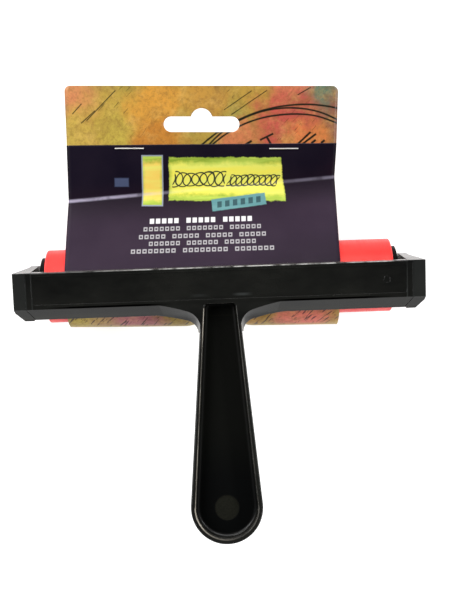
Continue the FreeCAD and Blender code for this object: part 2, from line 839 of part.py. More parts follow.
def header_card(doc):
    """The retail card: one strip that runs from its header down the back, under the roller,
    up over its front and down again as a front flap, with the sides trimmed at a lean."""
    body = new_body(doc, "header_card")
    card_loop(doc, body)
    outer = "( loop_radius + card_thickness )"
    front, back = "flap_leave_angle", "back_leave_angle"
    card_strip(
        doc, body, "front_flap",
        line=[("crease_out", "-1 * crease_drop"), ("flap_top_out", FLAP_TOP)],
        starts=[
            (f"{outer} * cos( {front} )", f"{outer} * sin( {front} )"),
            (f"loop_radius * cos( {front} )", f"loop_radius * sin( {front} )"),
        ],
    )
    lap_height = f"{FLAP_TOP} - card_thickness - card_gap"
    card_strip(
        doc, body, "back_panel",
        line=[
            ("back_belly_out", "-1 * back_belly_drop"),
            ("flap_top_out - lap_run", f"{lap_height} - lap_run * tan( flap_slope )"),
            ("flap_top_out", lap_height),
            ("header_end", f"{lap_height} + ( header_end - flap_top_out ) * tan( header_slope )"),
        ],
        starts=[
            (f"loop_radius * cos( {back} )", f"-1 * loop_radius * sin( {back} )"),
            (f"{outer} * cos( {back} )", f"-1 * {outer} * sin( {back} )"),
        ],
    )
    trim_card(doc, body)
    return body


def staple(doc, side, place):
    """A wire staple: a crown on the flap, two legs through the card and a clinched back."""
    body = new_body(doc, f"staple_{side}")
    depth = "( card_thickness * 2 + card_gap + staple_wire * 2 + fit_gap * 4 )"
    crown = new_sketch(body, f"crown_outline_{side}", "YZ_Plane")
    add_circle(crown, "staple_wire")
    extrude(body, "Pad", f"crown_{side}", crown, "staple_half_crown * 2", both_ways=True)
    legs = new_sketch(body, f"leg_outline_{side}", "XY_Plane")
    for sign in ("", "-1 * "):
        add_circle(legs, "staple_leg_wire", f"{sign}staple_leg_place")
    extrude(body, "Pad", f"legs_{side}", legs, depth, reverse=True)
    for sign, name in ((1, "right"), (-1, "left")):
        toe = new_sketch(body, f"toe_outline_{side}_{name}", "YZ_Plane", lift=(
            f"{sign} * ( staple_leg_place - staple_clinch )"))
        add_circle(toe, "staple_wire", "0", f"-1 * {depth}")
        extrude(body, "Pad", f"toe_{side}_{name}", toe, "staple_clinch + staple_wire", reverse=sign < 0)
    out = "( flap_top_out - staple_inset )"
    lift = "( staple_wire + fit_gap * 2 )"
    spin = FreeCAD.Rotation(FreeCAD.Vector(0, 0, 1), -SIZES["card_lean"])
    tilt = FreeCAD.Rotation(FreeCAD.Vector(1, 0, 0), SIZES["flap_slope"])
    body.Placement = FreeCAD.Placement(FreeCAD.Vector(), tilt * spin)
    across = f"( {place} - card_shift )"
    body.setExpression(".Placement.Base.x", cell(f"{across} * cos( card_lean ) + {out} * sin( card_lean )"))
    body.setExpression(".Placement.Base.y", cell(f"{out} * cos( card_lean ) - {across} * sin( card_lean )"))
    body.setExpression(".Placement.Base.z", cell(
        f"-1 * crease_drop + ( {out} * cos( card_lean ) - {across} * sin( card_lean ) - crease_out )"
        f" * tan( flap_slope ) + {lift} / cos( flap_slope )"))
    doc.recompute()
    return body


def staples(doc):
    """The two staples that close the card, kept as a group."""
    pair = [staple(doc, "left", "-1 * staple_left"), staple(doc, "right", "staple_right")]
    group = doc.addObject("Part::Compound", "staples")
    group.Label = "staples"
    group.Links = pair
    doc.recompute()
    return group


# ---------------------------------------------------------------- assembly


def check(doc, nodes):
    """Stop if any feature failed or any sub-part has no valid solid."""
    for item in doc.Objects:
        if "Invalid" in item.State or "Error" in item.State:
            raise RuntimeError(f"{item.Name} did not build: {item.State}")
    for node in nodes:
        if node.Shape.isNull() or not node.Shape.isValid():
            raise RuntimeError(f"{node.Label} has no valid shape")


def main():
    doc = FreeCAD.newDocument("rubber_brayer")
    make_sheet(doc)
    nodes = [frame(doc), axle_rod(doc), axle_push_nuts(doc)]
    nodes += [thrust_washer(doc, side) for side in ("left", "right")]
    nodes += [rubber_sleeve(doc), core_tube(doc)]
    nodes += [end_hub(doc, side) for side in ("left", "right")]
    nodes += [bush(doc, side) for side in ("left", "right")]
    nodes += [header_card(doc), staples(doc)]
    doc.recompute()
    check(doc, nodes)
    os.makedirs("parts", exist_ok=True)
    for node in nodes:
        node.Shape.exportStep(f"parts/{node.Label}.step")


main()
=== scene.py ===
import math

import bmesh
import bpy
from mathutils import Matrix, Vector


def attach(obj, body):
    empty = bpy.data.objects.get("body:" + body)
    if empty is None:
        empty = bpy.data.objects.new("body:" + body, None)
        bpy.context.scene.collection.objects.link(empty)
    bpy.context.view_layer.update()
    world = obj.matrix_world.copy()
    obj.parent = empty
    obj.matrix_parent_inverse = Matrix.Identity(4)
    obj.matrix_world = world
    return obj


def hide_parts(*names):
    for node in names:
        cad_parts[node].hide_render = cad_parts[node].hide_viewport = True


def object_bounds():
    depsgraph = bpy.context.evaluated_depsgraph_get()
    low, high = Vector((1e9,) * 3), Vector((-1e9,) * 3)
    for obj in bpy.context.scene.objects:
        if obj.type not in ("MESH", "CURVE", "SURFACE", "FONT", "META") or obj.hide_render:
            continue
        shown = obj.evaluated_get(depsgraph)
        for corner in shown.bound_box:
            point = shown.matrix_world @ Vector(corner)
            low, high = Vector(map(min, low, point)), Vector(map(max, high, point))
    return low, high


# The looks of the rubber brayer: moulded black frame, red rubber roller and the printed
# header card that is looped round it.  Sizes below are in millimetres and are turned into
# metres by MM.  Axes are those of the frame: X along the roller, +Y away from the handle,
# +Z out of the bar face.

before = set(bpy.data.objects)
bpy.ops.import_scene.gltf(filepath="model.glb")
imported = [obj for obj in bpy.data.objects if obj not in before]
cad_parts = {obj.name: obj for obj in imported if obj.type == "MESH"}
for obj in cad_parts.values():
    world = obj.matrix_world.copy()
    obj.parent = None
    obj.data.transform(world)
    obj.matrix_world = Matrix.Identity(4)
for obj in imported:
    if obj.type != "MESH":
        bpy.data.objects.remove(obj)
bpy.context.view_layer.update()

MM = 0.001
PER_METRE = 1000.0

# ---------------------------------------------------------------- driving sizes of the card

CARD_HALF_WIDTH = 59.4
CARD_SHIFT = 7.8
CARD_LEAN = math.radians(2.03)
CARD_THICKNESS = 0.42
CARD_CORNER = 2.5
CARD_COLUMNS = 72
FLAP_STEPS = 64
LOOP_STEPS = 72
BACK_STEPS = 48
HEADER_STEPS = 40
CORNER_STEPS = 8
HEADER_TOP = 84.95
HEADER_SLOPE = math.radians(10.5)
FLAP_TOP = 59.8
FLAP_TOP_LEAN = 0.009
FLAP_TOP_HEIGHT = -4.5
FLAP_BOW = 0.35
LAP_LENGTH = 9.0
LAP_GAP = 1.05
BELLY_END_SLOPE = 0.30
LOOP_RADIUS = 17.02
LOOP_SAG_LEFT = 1.25
LOOP_SAG_RIGHT = 4.25
LOOP_SAG_POWER = 0.85
# The loop hangs closer to the roller where it would meet the handle's root as it swings.
ROOT_RELIEF = 1.5
ROOT_RELIEF_WIDTH = 11.5
ROOT_RELIEF_POWER = 6
SAG_FOCUS = 1.5
LOOP_SAG_ANGLE = math.radians(188.0)
LOOP_SLIP = 1.1
LOOP_TUCK = 0.75
LOOP_ENTRY_SHARE = 0.45
LOOP_FRONT = math.radians(53.0)
LOOP_BACK = math.radians(-86.0)
CREASE_PLACE = 40.1
CREASE_SLOPE = 0.092
CREASE_HEIGHT = -9.8
CREASE_DIP = 0.03
CREASE_ROUND = 2.0
SLOT_HALF_WIDTH = 16.6
SLOT_HALF_HEIGHT = 3.35
SLOT_BUMP = 4.8
SLOT_BUMP_RISE = 2.1
SLOT_PLACE = 68.5

# Places of the colours in the wash: (across, along), radius, tint and strength.
WASH_PATCHES = [
    ((-57, 82), 17, (0.60, 0.22, 0.10), 0.8),
    ((-60, 64), 17, (0.52, 0.38, 0.07), 0.8),
    ((-40, 74), 17, (0.45, 0.32, 0.055), 0.85),
    ((-38, 62), 15, (0.47, 0.38, 0.06), 0.9),
    ((-20, 75), 18, (0.62, 0.30, 0.043), 0.8),
    ((-18, 61), 14, (0.46, 0.19, 0.028), 0.9),
    ((2, 82), 15, (0.46, 0.25, 0.045), 0.8),
    ((23, 83), 15, (0.40, 0.26, 0.045), 0.8),
    ((42, 85), 15, (0.60, 0.17, 0.095), 0.9),
    ((16, 62), 11, (0.55, 0.17, 0.075), 0.85),
    ((34, 70), 17, (0.45, 0.08, 0.06), 0.95),
    ((46, 75), 11, (0.36, 0.07, 0.055), 0.8),
    ((60, 81), 17, (0.085, 0.17, 0.11), 1.0),
    ((60, 70), 14, (0.22, 0.09, 0.055), 0.95),
    ((46, 60), 13, (0.60, 0.17, 0.05), 0.85),
    ((-46, -14), 24, (0.40, 0.26, 0.12), 0.85),
    ((-28, -16), 15, (0.40, 0.13, 0.17), 0.85),
    ((-54, -16), 11, (0.44, 0.36, 0.07), 0.9),
    ((20, -14), 18, (0.42, 0.22, 0.045), 0.85),
    ((46, -14), 18, (0.66, 0.17, 0.13), 0.9),
    ((-4, -16), 14, (0.40, 0.30, 0.06), 0.8),
]
WASH_TONE = (1.05, 0.98, 1.04)
# Pen rings on the wash: centre and radius.
INK_RINGS = [((46.0, 8.5), 68.7), ((38.8, 28.4), 47.3), ((40.0, 19.5), 53.5)]
INK_HALF = 0.42
# Pen strokes on the header: start, end and half width.
STROKES = [
    ((-50.5, 69.8), (-37.3, 82.9), 0.2),
    ((-56.6, 72.6), (-52.3, 77.1), 0.2),
    ((-53.0, 68.6), (-46.5, 74.2), 0.2),
    ((9.8, 74.6), (21.9, 82.8), 0.18),
    ((13.0, 72.6), (28.3, 82.8), 0.18),
    ((42.0, 81.2), (47.6, 84.4), 0.22),
    ((18.6, 59.2), (21.9, 61.2), 0.5),
    ((25.5, 61.5), (31.5, 64.5), 0.42),
    ((28.3, 63.3), (30.7, 59.6), 0.5),
    ((42.0, 59.6), (47.6, 64.9), 0.45),
    ((44.0, 59.6), (50.0, 64.1), 0.45),
    ((48.0, 60.0), (50.0, 61.5), 0.5),
    ((52.4, 60.2), (54.0, 61.5), 0.5),
]
SWATCH_PLACE = (11.4, 44.6)
SWATCH_HALF = (26.0, 9.5)
TORN_EDGE = 36.2
CHIP_PLACE = (-21.9, 43.9)
CHIP_HALF = (4.2, 10.7)
BLOCK_PLACE = (-35.6, 43.1)
BLOCK_HALF = (3.1, 1.9)
# Pen coils on the swatch: place, half length, pitch, half height and lean.
DOODLES = [
    ((-1.2, 44.4), 11.4, 7.0, 3.1, 0.12),
    ((23.0, 44.0), 11.2, 5.2, 2.4, 0.5),
]
TAG_PLACE = (16.4, 34.6)
TAG_HALF = (12.0, 2.55)
TAG_TURN = math.radians(7.5)
# Rows of plain blocks: place along, middle, count, pitch, word length, half height, strength.
ROWS = [
    (26.9, 1.1, 18, 2.68, 6, 1.05, 0.95),
    (23.6, 0.4, 22, 2.36, 8, 0.85, 0.5),
    (20.4, 0.5, 23, 2.43, 6, 0.85, 0.5),
    (17.5, 0.5, 20, 2.35, 7, 0.85, 0.5),
    (14.5, 0.6, 25, 2.50, 9, 0.85, 0.5),
]
ROW_LEAN = 0.03
# Middle, across the card, of the painted highlight along the crease.
CREASE_HIGHLIGHT_MIDDLE = 10.0
# The back's pale panel, the lines printed on it and how many lines there are to a millimetre.
BACK_PANEL = ((0.0, 38.0), (51.0, 34.0))
BACK_LINES = ((-4.0, 38.0), (40.0, 27.0))
LINES_PER_MM = 0.24
# Material slots of the card's outer faces; their insides and cut edges are so many slots on.
FLAP_SLOT, BACK_SLOT, HEADER_SLOT, EDGE_SLOT = 0, 1, 2, 8
INSIDE_OFFSET, EDGE_OFFSET = 3, 6

# ---------------------------------------------------------------- moulding

DISC_PLACE = (0.0, -92.1)
DISC_RADIUS = 5.1
RIM_FOOT = (-7.0, 25.0)
RIM_TILT = math.radians(12.0)
CHANNEL_FLARE = 0.0769
CHANNEL_HALF = 6.45
CHANNEL_END = 13.0
CHANNEL_START = -6.4
ROOT_SHEEN = -3.4
SEAM_PLACE = 81.55
PANEL_END = 78.9
FOOT_LINE = -6.6
END_PLACE = -90.0
TOP_EDGE = (8.0, 24.3)
BEVEL_PLANE = 32.0

# ---------------------------------------------------------------- stage and camera

FLOOR_HALF = 3.0
FLOOR_GLOW = 0.78
DOME_SIDE = 1.15
DOME_TOP = 0.06
DOME_FRONT = 0.42
FLOOR_DROP = 0.2

CAMERA_TIP = math.radians(7.0)
CAMERA_ROLL = math.radians(2.03)
CAMERA_PLACE = (2.49, -8.57, 478.0)
CAMERA_LENS = 64.8
CAMERA_SENSOR = 36.0

# ---------------------------------------------------------------- shader graph helper


class Graph:
    """A small wrapper that builds a material's nodes from plain function calls."""

    def __init__(self, name):
        self.material = bpy.data.materials.new(name)
        self.material.use_nodes = True
        self.tree = self.material.node_tree
        self.tree.nodes.clear()
        self.output = self.tree.nodes.new("ShaderNodeOutputMaterial")
        self.surface = self.tree.nodes.new("ShaderNodeBsdfPrincipled")
        self.link(self.surface.outputs["BSDF"], self.output.inputs["Surface"])
        self.coordinate = self.tree.nodes.new("ShaderNodeTexCoord").outputs["Object"]

    def link(self, source, target):
        self.tree.links.new(source, target)

    def feed(self, value, target):
        """Connect a socket, or set a plain value."""
        if isinstance(value, bpy.types.NodeSocket):
            self.link(value, target)
        elif isinstance(value, (tuple, list)) and len(value) == 3 and target.type == "RGBA":
            target.default_value = (*value, 1.0)
        else:
            target.default_value = value

    def set(self, **values):
        for name, value in values.items():
            self.feed(value, self.surface.inputs[name.replace("_", " ")])

    def math(self, operation, first, second=0.0, clamp=False):
        node = self.tree.nodes.new("ShaderNodeMath")
        node.operation = operation
        node.use_clamp = clamp
        self.feed(first, node.inputs[0])
        self.feed(second, node.inputs[1])
        return node.outputs[0]

    def add(self, *values):
        total = values[0]
        for value in values[1:]:
            total = self.math("ADD", total, value)
        return total

    def subtract(self, first, second):
        return self.math("SUBTRACT", first, second)

    def times(self, *values):
        product = values[0]
        for value in values[1:]:
            product = self.math("MULTIPLY", product, value)
        return product

    def absolute(self, value):
        return self.math("ABSOLUTE", value)

    def fraction(self, value):
        return self.math("FRACT", value)

    def largest(self, *values):
        top = values[0]
        for value in values[1:]:
            top = self.math("MAXIMUM", top, value)
        return top

    def length(self, dx, dy):
        return self.math("SQRT", self.add(self.times(dx, dx), self.times(dy, dy)))

    def split(self):
        node = self.tree.nodes.new("ShaderNodeSeparateXYZ")
        self.feed(self.coordinate, node.inputs[0])
        return node.outputs[0], node.outputs[1], node.outputs[2]

    def join(self, x, y, z=0.0):
        node = self.tree.nodes.new("ShaderNodeCombineXYZ")
        for value, target in zip((x, y, z), node.inputs):
            self.feed(value, target)
        return node.outputs[0]

    def noise(self, scale, detail=3.0, roughness=0.5, vector=None, stretch=None, distortion=0.0):
        """Noise with features of about 1 / scale metres; stretch scales the axes first."""
        place = self.coordinate if vector is None else vector
        if stretch:
            mapping = self.tree.nodes.new("ShaderNodeMapping")
            mapping.inputs["Scale"].default_value = stretch
            self.link(place, mapping.inputs["Vector"])
            place = mapping.outputs[0]
        node = self.tree.nodes.new("ShaderNodeTexNoise")
        self.link(place, node.inputs["Vector"])
        node.inputs["Scale"].default_value = scale
        node.inputs["Detail"].default_value = detail
        node.inputs["Roughness"].default_value = roughness
        node.inputs["Distortion"].default_value = distortion
        return node.outputs["Fac"]

    def remap(self, value, low, high, start=0.0, end=1.0, smooth=False):
        """Map low..high to start..end, clamped."""
        node = self.tree.nodes.new("ShaderNodeMapRange")
        node.interpolation_type = "SMOOTHSTEP" if smooth else "LINEAR"
        self.feed(value, node.inputs["Value"])
        for name, number in (("From Min", low), ("From Max", high), ("To Min", start), ("To Max", end)):
            self.feed(number, node.inputs[name])
        return node.outputs["Result"]

    def mix_value(self, share, first, second):
        """A plain number between two others."""
        return self.add(first, self.times(share, second - first))

    def mix(self, share, first, second):
        node = self.tree.nodes.new("ShaderNodeMix")
        node.data_type = "RGBA"
        self.feed(share, node.inputs["Factor"])
        self.feed(first, node.inputs["A"])
        self.feed(second, node.inputs["B"])
        return node.outputs["Result"]

    def tint(self, colour, tone):
        """Multiply a colour by a fixed tone."""
        node = self.tree.nodes.new("ShaderNodeMix")
        node.data_type = "RGBA"
        node.blend_type = "MULTIPLY"
        node.inputs["Factor"].default_value = 1.0
        self.feed(colour, node.inputs["A"])
        self.feed(tone, node.inputs["B"])
        return node.outputs["Result"]

    def bump(self, height, distance, strength=1.0, normal=None):
        node = self.tree.nodes.new("ShaderNodeBump")
        node.inputs["Strength"].default_value = strength
        node.inputs["Distance"].default_value = distance
        self.feed(height, node.inputs["Height"])
        if normal is not None:
            self.link(normal, node.inputs["Normal"])
        return node.outputs["Normal"]

    def soft_edges(self, radius):
        """A normal rounded over sharp edges."""
        node = self.tree.nodes.new("ShaderNodeBevel")
        node.samples = 6
        node.inputs["Radius"].default_value = radius
        return node.outputs["Normal"]

    def box_mask(self, x, y, centre, half, soft, turn=0.0):
        """1 inside a rectangle given in millimetres, with an edge of a given softness."""
        dx = self.subtract(x, centre[0])
        dy = self.subtract(y, centre[1])
        if turn:
            along = self.add(self.times(dx, math.cos(turn)), self.times(dy, math.sin(turn)))
            across = self.subtract(self.times(dy, math.cos(turn)), self.times(dx, math.sin(turn)))
        else:
            along, across = dx, dy
        outside_x = self.subtract(self.absolute(along), half[0])
        outside_y = self.subtract(self.absolute(across), half[1])
        outside = self.largest(outside_x, outside_y)
        return self.remap(outside, -soft, soft, 1.0, 0.0)

    def disc_mask(self, x, y, centre, radius):
        """1 inside a circle given in millimetres, with a narrow edge."""
        dx = self.subtract(x, centre[0])
        dy = self.subtract(y, centre[1])
        distance = self.length(dx, dy)
        return self.remap(distance, radius - 0.15, radius + 0.15, 1.0, 0.0)

    def blob_mask(self, x, y, centre, radius):
        """A soft round patch, 1 at its centre and 0 at its radius."""
        dx = self.subtract(x, centre[0])
        dy = self.subtract(y, centre[1])
        distance = self.length(dx, dy)
        return self.remap(distance, radius * 0.35, radius, 1.0, 0.0, smooth=True)


# ---------------------------------------------------------------- materials


def channel_places(g, x, y, z):
    """Distance outside the channel's outline and depth below the handle's rim."""
    out = g.subtract(RIM_FOOT[0], y)
    rim = g.add(g.times(out, math.tan(RIM_TILT)), RIM_FOOT[1])
    half = g.add(g.times(out, CHANNEL_FLARE), CHANNEL_HALF)
    beside = g.subtract(g.absolute(x), half)
    past = g.times(g.subtract(y, END_PLACE), 1.0 / math.cos(RIM_TILT))
    reach = g.length(x, past)
    at_end = g.remap(y, END_PLACE - 0.5, END_PLACE + 0.5, 1.0, 0.0)
    beyond = g.subtract(reach, CHANNEL_END)
    outside = g.add(g.times(beside, g.subtract(1.0, at_end)), g.times(beyond, at_end))
    return outside, g.subtract(rim, z)


def painted_rim_highlight(g, x, y, outside, below):
    """1 on the rounded inner lip of the handle, where a painted highlight lies, brightest down its left
    side.
    """
    near = g.remap(g.absolute(g.subtract(outside, 0.12)), 0.2, 0.42, 1.0, 0.0)
    level = g.remap(below, 0.35, 0.7, 1.0, 0.0)
    side = g.times(g.remap(x, -6.0, 5.0, 0.9, 0.1), g.remap(y, -97.0, -101.0, 1.0, 0.35))
    broken = g.remap(g.noise(70.0, detail=3.0), 0.34, 0.6, 0.25, 1.0)
    on_handle = g.remap(y, CHANNEL_START - 3.0, CHANNEL_START - 2.0, 1.0, 0.0)
    return g.times(near, level, side, broken, on_handle)


def painted_bar_highlights(g, x, y, z):
    """Painted highlights: faint streaks where the handle's root rises into the bar and along its end
    lines, and a lighter tone on the ends past the seams.
    """
    streak = g.times(
        g.remap(g.absolute(g.subtract(y, ROOT_SHEEN)), 0.1, 0.9, 1.0, 0.0, smooth=True),
        g.remap(g.absolute(g.subtract(g.absolute(g.subtract(x, 0.5)), 9.0)), 0.5, 5.0,
                1.0, 0.0, smooth=True),
        g.remap(x, -4.0, 4.0, 0.35, 1.0),
    )
    reach = g.absolute(x)
    seams = g.remap(g.absolute(g.subtract(reach, SEAM_PLACE)), 0.15, 0.5, 1.0, 0.0)
    panel_ends = g.remap(g.absolute(g.subtract(reach, PANEL_END)), 0.1, 0.4, 0.8, 0.0)
    seams = g.largest(seams, panel_ends)
    patchy = g.remap(g.noise(150.0, detail=3.0), 0.35, 0.6, 0.2, 1.0)
    ends = g.remap(reach, SEAM_PLACE, SEAM_PLACE + 0.5, 0.0, 0.35)
    on_face = g.remap(z, 24.3, 24.6)
    return g.times(g.largest(streak, g.largest(g.times(seams, patchy, 0.75), ends)), on_face)


def flare_side(g, x, y, below):
    """1 on the side walls of the neck, where the handle spreads into the bar."""
    near_bar = g.times(g.remap(y, -11.0, -13.5), g.remap(y, -40.0, -30.0))
    return g.times(near_bar, g.remap(below, 0.5, 1.2), g.remap(g.absolute(x), 9.5, 10.5))


def painted_dark_line(g, x, y):
    """1 in the painted dark reflection line just above the bar's lower edge, away from the flare and the
    ends.
    """
    line = g.remap(g.absolute(g.subtract(y, FOOT_LINE)), 0.3, 0.55, 1.0, 0.0)
    reach = g.absolute(x)
    return g.times(line, g.remap(reach, 20.0, 30.0), g.remap(reach, 62.0, 74.0, 1.0, 0.0))


def painted_edge_highlight(g, x, y, z):
    """1 where a painted highlight lies along the bar's top edge, broken up along its length."""
    high = g.remap(y, TOP_EDGE[0], TOP_EDGE[0] + 0.35)
    face = g.remap(z, TOP_EDGE[1], TOP_EDGE[1] + 0.3)
    broken = g.remap(g.noise(240.0, detail=3.0, stretch=(1.0, 0.2, 0.2)), 0.36, 0.6)
    along = g.remap(x, -62.0, -20.0, 0.12, 0.8)
    before_end = g.remap(x, 72.0, 74.0, 1.0, 0.0)
    return g.times(high, face, broken, along, before_end)


def painted_bevel_reflection(g, y, z):
    """1 on the lower half of the bar's bevel, painted a little greyer than the face as a reflection of the
    floor.
    """
    off_plane = g.absolute(g.subtract(g.subtract(z, y), BEVEL_PLANE))
    low = g.times(g.remap(y, -9.0, -11.2, smooth=True), g.remap(y, -12.3, -11.9, 0.3, 1.0))
    streaks = g.remap(g.noise(60.0, detail=3.0, stretch=(0.25, 1.0, 1.0)), 0.32, 0.66, 0.05, 1.0)
    return g.times(g.remap(off_plane, 0.25, 0.4, 1.0, 0.0), low, streaks)


def black_plastic():
    """Glossy black moulding with handling haze, fine scratches and a matte floor disc, with painted shade
    in the handle's channel and painted highlights and reflections on its edges.
    """
    g = Graph("moulded_black_plastic")
    x, y, z = (g.times(value, PER_METRE) for value in g.split())
    haze = g.noise(28.0, detail=4.0, roughness=0.6)
    patches = g.noise(9.0, detail=2.0)
    scratches = g.noise(900.0, detail=2.0, stretch=(0.06, 1.0, 1.0))
    scratch_mask = g.remap(scratches, 0.68, 0.74)
    dust = g.remap(g.noise(2600.0, detail=1.0), 0.76, 0.82)
    cloud = g.remap(g.noise(34.0, detail=5.0, roughness=0.65, stretch=(0.5, 1.0, 1.0)), 0.35, 0.7)
    colour = g.mix(cloud, (0.0034, 0.0036, 0.0034), (0.0128, 0.013, 0.0112))
    colour = g.mix(g.times(dust, 0.12), colour, (0.05, 0.048, 0.044))
    roughness = g.add(
        g.remap(haze, 0.3, 0.75, 0.13, 0.23),
        g.remap(patches, 0.35, 0.7, 0.0, 0.05),
        g.times(scratch_mask, 0.06),
    )
    outside, below = channel_places(g, x, y, z)
    # Painted shade: the handle's channel is painted darker than the face, darker still towards its far
    # end.
    channel = g.times(g.remap(below, 0.6, 2.2), g.remap(outside, -0.4, 0.2, 1.0, 0.0))
    colour = g.mix(channel, colour, g.mix(g.remap(y, -60.0, -80.0), (0.0026, 0.0028, 0.0022),
                                          (0.0008, 0.001, 0.001)))
    disc = g.disc_mask(x, y, DISC_PLACE, DISC_RADIUS)
    grain = g.noise(1300.0, detail=3.0)
    colour = g.mix(disc, colour, g.mix(g.remap(grain, 0.35, 0.65), (0.0075, 0.0077, 0.0056),
                                       (0.0105, 0.0108, 0.0078)))
    # Painted highlight along the bar's top edge.
    colour = g.mix(painted_edge_highlight(g, x, y, z), colour, (0.5, 0.5, 0.48))
    # Painted highlight on the inner lip of the handle's channel.
    colour = g.mix(painted_rim_highlight(g, x, y, outside, below), colour, (0.34, 0.31, 0.26))
    # Painted highlights at the handle's root, along the seam and panel-end lines and on the bar's ends.
    colour = g.mix(painted_bar_highlights(g, x, y, z), colour, (0.026, 0.028, 0.027))
    # Painted reflection: the lower bevel a little greyer, in streaks.
    colour = g.mix(painted_bevel_reflection(g, y, z), colour, (0.0205, 0.0195, 0.014))
    # Painted dark reflection along the bar's lower edge.
    foot = painted_dark_line(g, x, y)
    colour = g.mix(foot, colour, (0.0003, 0.0003, 0.0003))
    roughness = g.add(roughness, g.times(disc, 0.5))
    orange_peel = g.noise(420.0, detail=2.0)
    ripple = g.noise(60.0, detail=2.0)
    normal = g.soft_edges(0.18 * MM)
    normal = g.bump(ripple, 0.05 * MM, 0.6, normal)
    normal = g.bump(orange_peel, 0.012 * MM, 0.5, normal)
    normal = g.bump(scratches, 0.005 * MM, 0.2, normal)
    flare = flare_side(g, x, y, below)
    calm = g.largest(g.largest(channel, foot), g.times(flare, 0.7))
    matte = g.add(g.times(channel, 0.3), g.times(flare, 0.12))
    g.set(Base_Color=colour, Roughness=g.add(roughness, matte), Normal=normal,
          Sheen_Roughness=0.25, Sheen_Weight=g.mix_value(calm, 0.12, 0.0), Sheen_Tint=(0.95, 0.9, 0.8),
          Specular_IOR_Level=g.mix_value(calm, 0.3, 0.05))
    return g.material


def red_rubber():
    """Ground red rubber: fine lines round the roller, a soft sheen and slight blotches."""
    g = Graph("ground_red_rubber")
    lines = g.noise(1500.0, detail=3.0, stretch=(1.0, 0.03, 0.03))
    blotches = g.noise(60.0, detail=3.0)
    specks = g.remap(g.noise(1800.0, detail=1.0), 0.7, 0.78)
    colour = g.mix(g.remap(blotches, 0.3, 0.7), (0.86, 0.012, 0.009), (0.95, 0.022, 0.015))
    colour = g.mix(g.times(specks, 0.12), colour, (0.95, 0.3, 0.25))
    roughness = g.remap(lines, 0.3, 0.7, 0.3, 0.44)
    normal = g.bump(lines, 0.012 * MM, 0.5, g.soft_edges(0.4 * MM))
    g.set(Base_Color=colour, Roughness=roughness, Normal=normal, Subsurface_Weight=0.05,
          Specular_IOR_Level=0.4)
    g.surface.inputs["Subsurface Radius"].default_value = (0.003, 0.0008, 0.0005)
    return g.material


def satin_plastic(name, dark, light, roughness, gloss=0.5):
    """A satin moulded plastic with a little grain."""
    g = Graph(name)
    grain = g.noise(1400.0, detail=3.0)
    colour = g.mix(g.remap(g.noise(90.0), 0.3, 0.7), dark, light)
    normal = g.bump(grain, 0.015 * MM, 0.5, g.soft_edges(0.3 * MM))
    g.set(Base_Color=colour, Roughness=g.remap(grain, 0.3, 0.7, roughness - 0.05, roughness + 0.08),
          Normal=normal, Specular_IOR_Level=gloss)
    return g.material


def metal(name, colour, roughness, stretch):
    """Bright metal with drawing marks along one direction."""
    g = Graph(name)
    marks = g.noise(2200.0, detail=3.0, stretch=stretch)
    stains = g.noise(160.0, detail=3.0)
    shade = g.mix(g.remap(stains, 0.35, 0.7, 0.0, 0.35), colour, tuple(0.7 * c for c in colour))
    normal = g.bump(marks, 0.006 * MM, 0.5, g.soft_edges(0.12 * MM))
    g.set(Base_Color=shade, Metallic=1.0, Normal=normal,
          Roughness=g.remap(marks, 0.3, 0.7, roughness, roughness + 0.14))
    return g.material


# ---------------------------------------------------------------- printed card


def card_place(g):
    """Millimetres across and along the card, from the frame's coordinates."""
    x, y, _ = g.split()
    x_mm = g.times(x, PER_METRE)
    y_mm = g.times(y, PER_METRE)
    cosine, sine = math.cos(CARD_LEAN), math.sin(CARD_LEAN)
    across = g.add(g.subtract(g.times(x_mm, cosine), g.times(y_mm, sine)), CARD_SHIFT)
    along = g.add(g.times(x_mm, sine), g.times(y_mm, cosine))
    return across, along


def wash_colour(g, across, along):
    """A loose watercolour wash: mustard and olive with orange, pink and teal patches."""
    warp = g.noise(55.0, detail=4.0, roughness=0.65)
    warp_2 = g.noise(70.0, detail=4.0, roughness=0.65, vector=g.join(
        g.times(along, 0.0011), g.times(across, 0.0013), 0.37))
    x = g.add(across, g.times(g.subtract(warp, 0.5), 26.0))
    y = g.add(along, g.times(g.subtract(warp_2, 0.5), 22.0))
    colour = g.mix(g.remap(g.noise(38.0, detail=5.0), 0.40, 0.60),
                   (0.40, 0.27, 0.045), (0.28, 0.26, 0.05))
    for centre, radius, tint, strength in WASH_PATCHES:
        colour = g.mix(g.times(g.blob_mask(x, y, centre, radius), strength), colour, tint)
    blooms = g.noise(120.0, detail=6.0, roughness=0.7)
    colour = g.mix(g.remap(blooms, 0.5, 0.72, 0.0, 0.45), colour, (0.66, 0.46, 0.13))
    pools = g.noise(95.0, detail=6.0, roughness=0.7, distortion=0.6)
    colour = g.mix(g.remap(pools, 0.5, 0.68, 0.0, 0.6), colour, (0.22, 0.12, 0.03))
    granules = g.noise(620.0, detail=5.0, roughness=0.75)
    colour = g.mix(g.remap(granules, 0.46, 0.7, 0.0, 0.5), colour, (0.13, 0.065, 0.02))
    return g.tint(colour, WASH_TONE)


def ring_line(g, x, y, centre, radius):
    """A thin drawn ring."""
    dx = g.subtract(x, centre[0])
    dy = g.subtract(y, centre[1])
    distance = g.length(dx, dy)
    off = g.absolute(g.subtract(distance, radius))
    return g.remap(off, INK_HALF * 0.5, INK_HALF * 1.4, 1.0, 0.0)


def pen_stroke(g, x, y, start, end, half):
    """One straight stroke with the soft edge of a pen."""
    run, rise = end[0] - start[0], end[1] - start[1]
    length = math.hypot(run, rise)
    middle = ((start[0] + end[0]) / 2, (start[1] + end[1]) / 2)
    return g.box_mask(x, y, middle, (length / 2, half), 0.16, turn=math.atan2(rise, run))


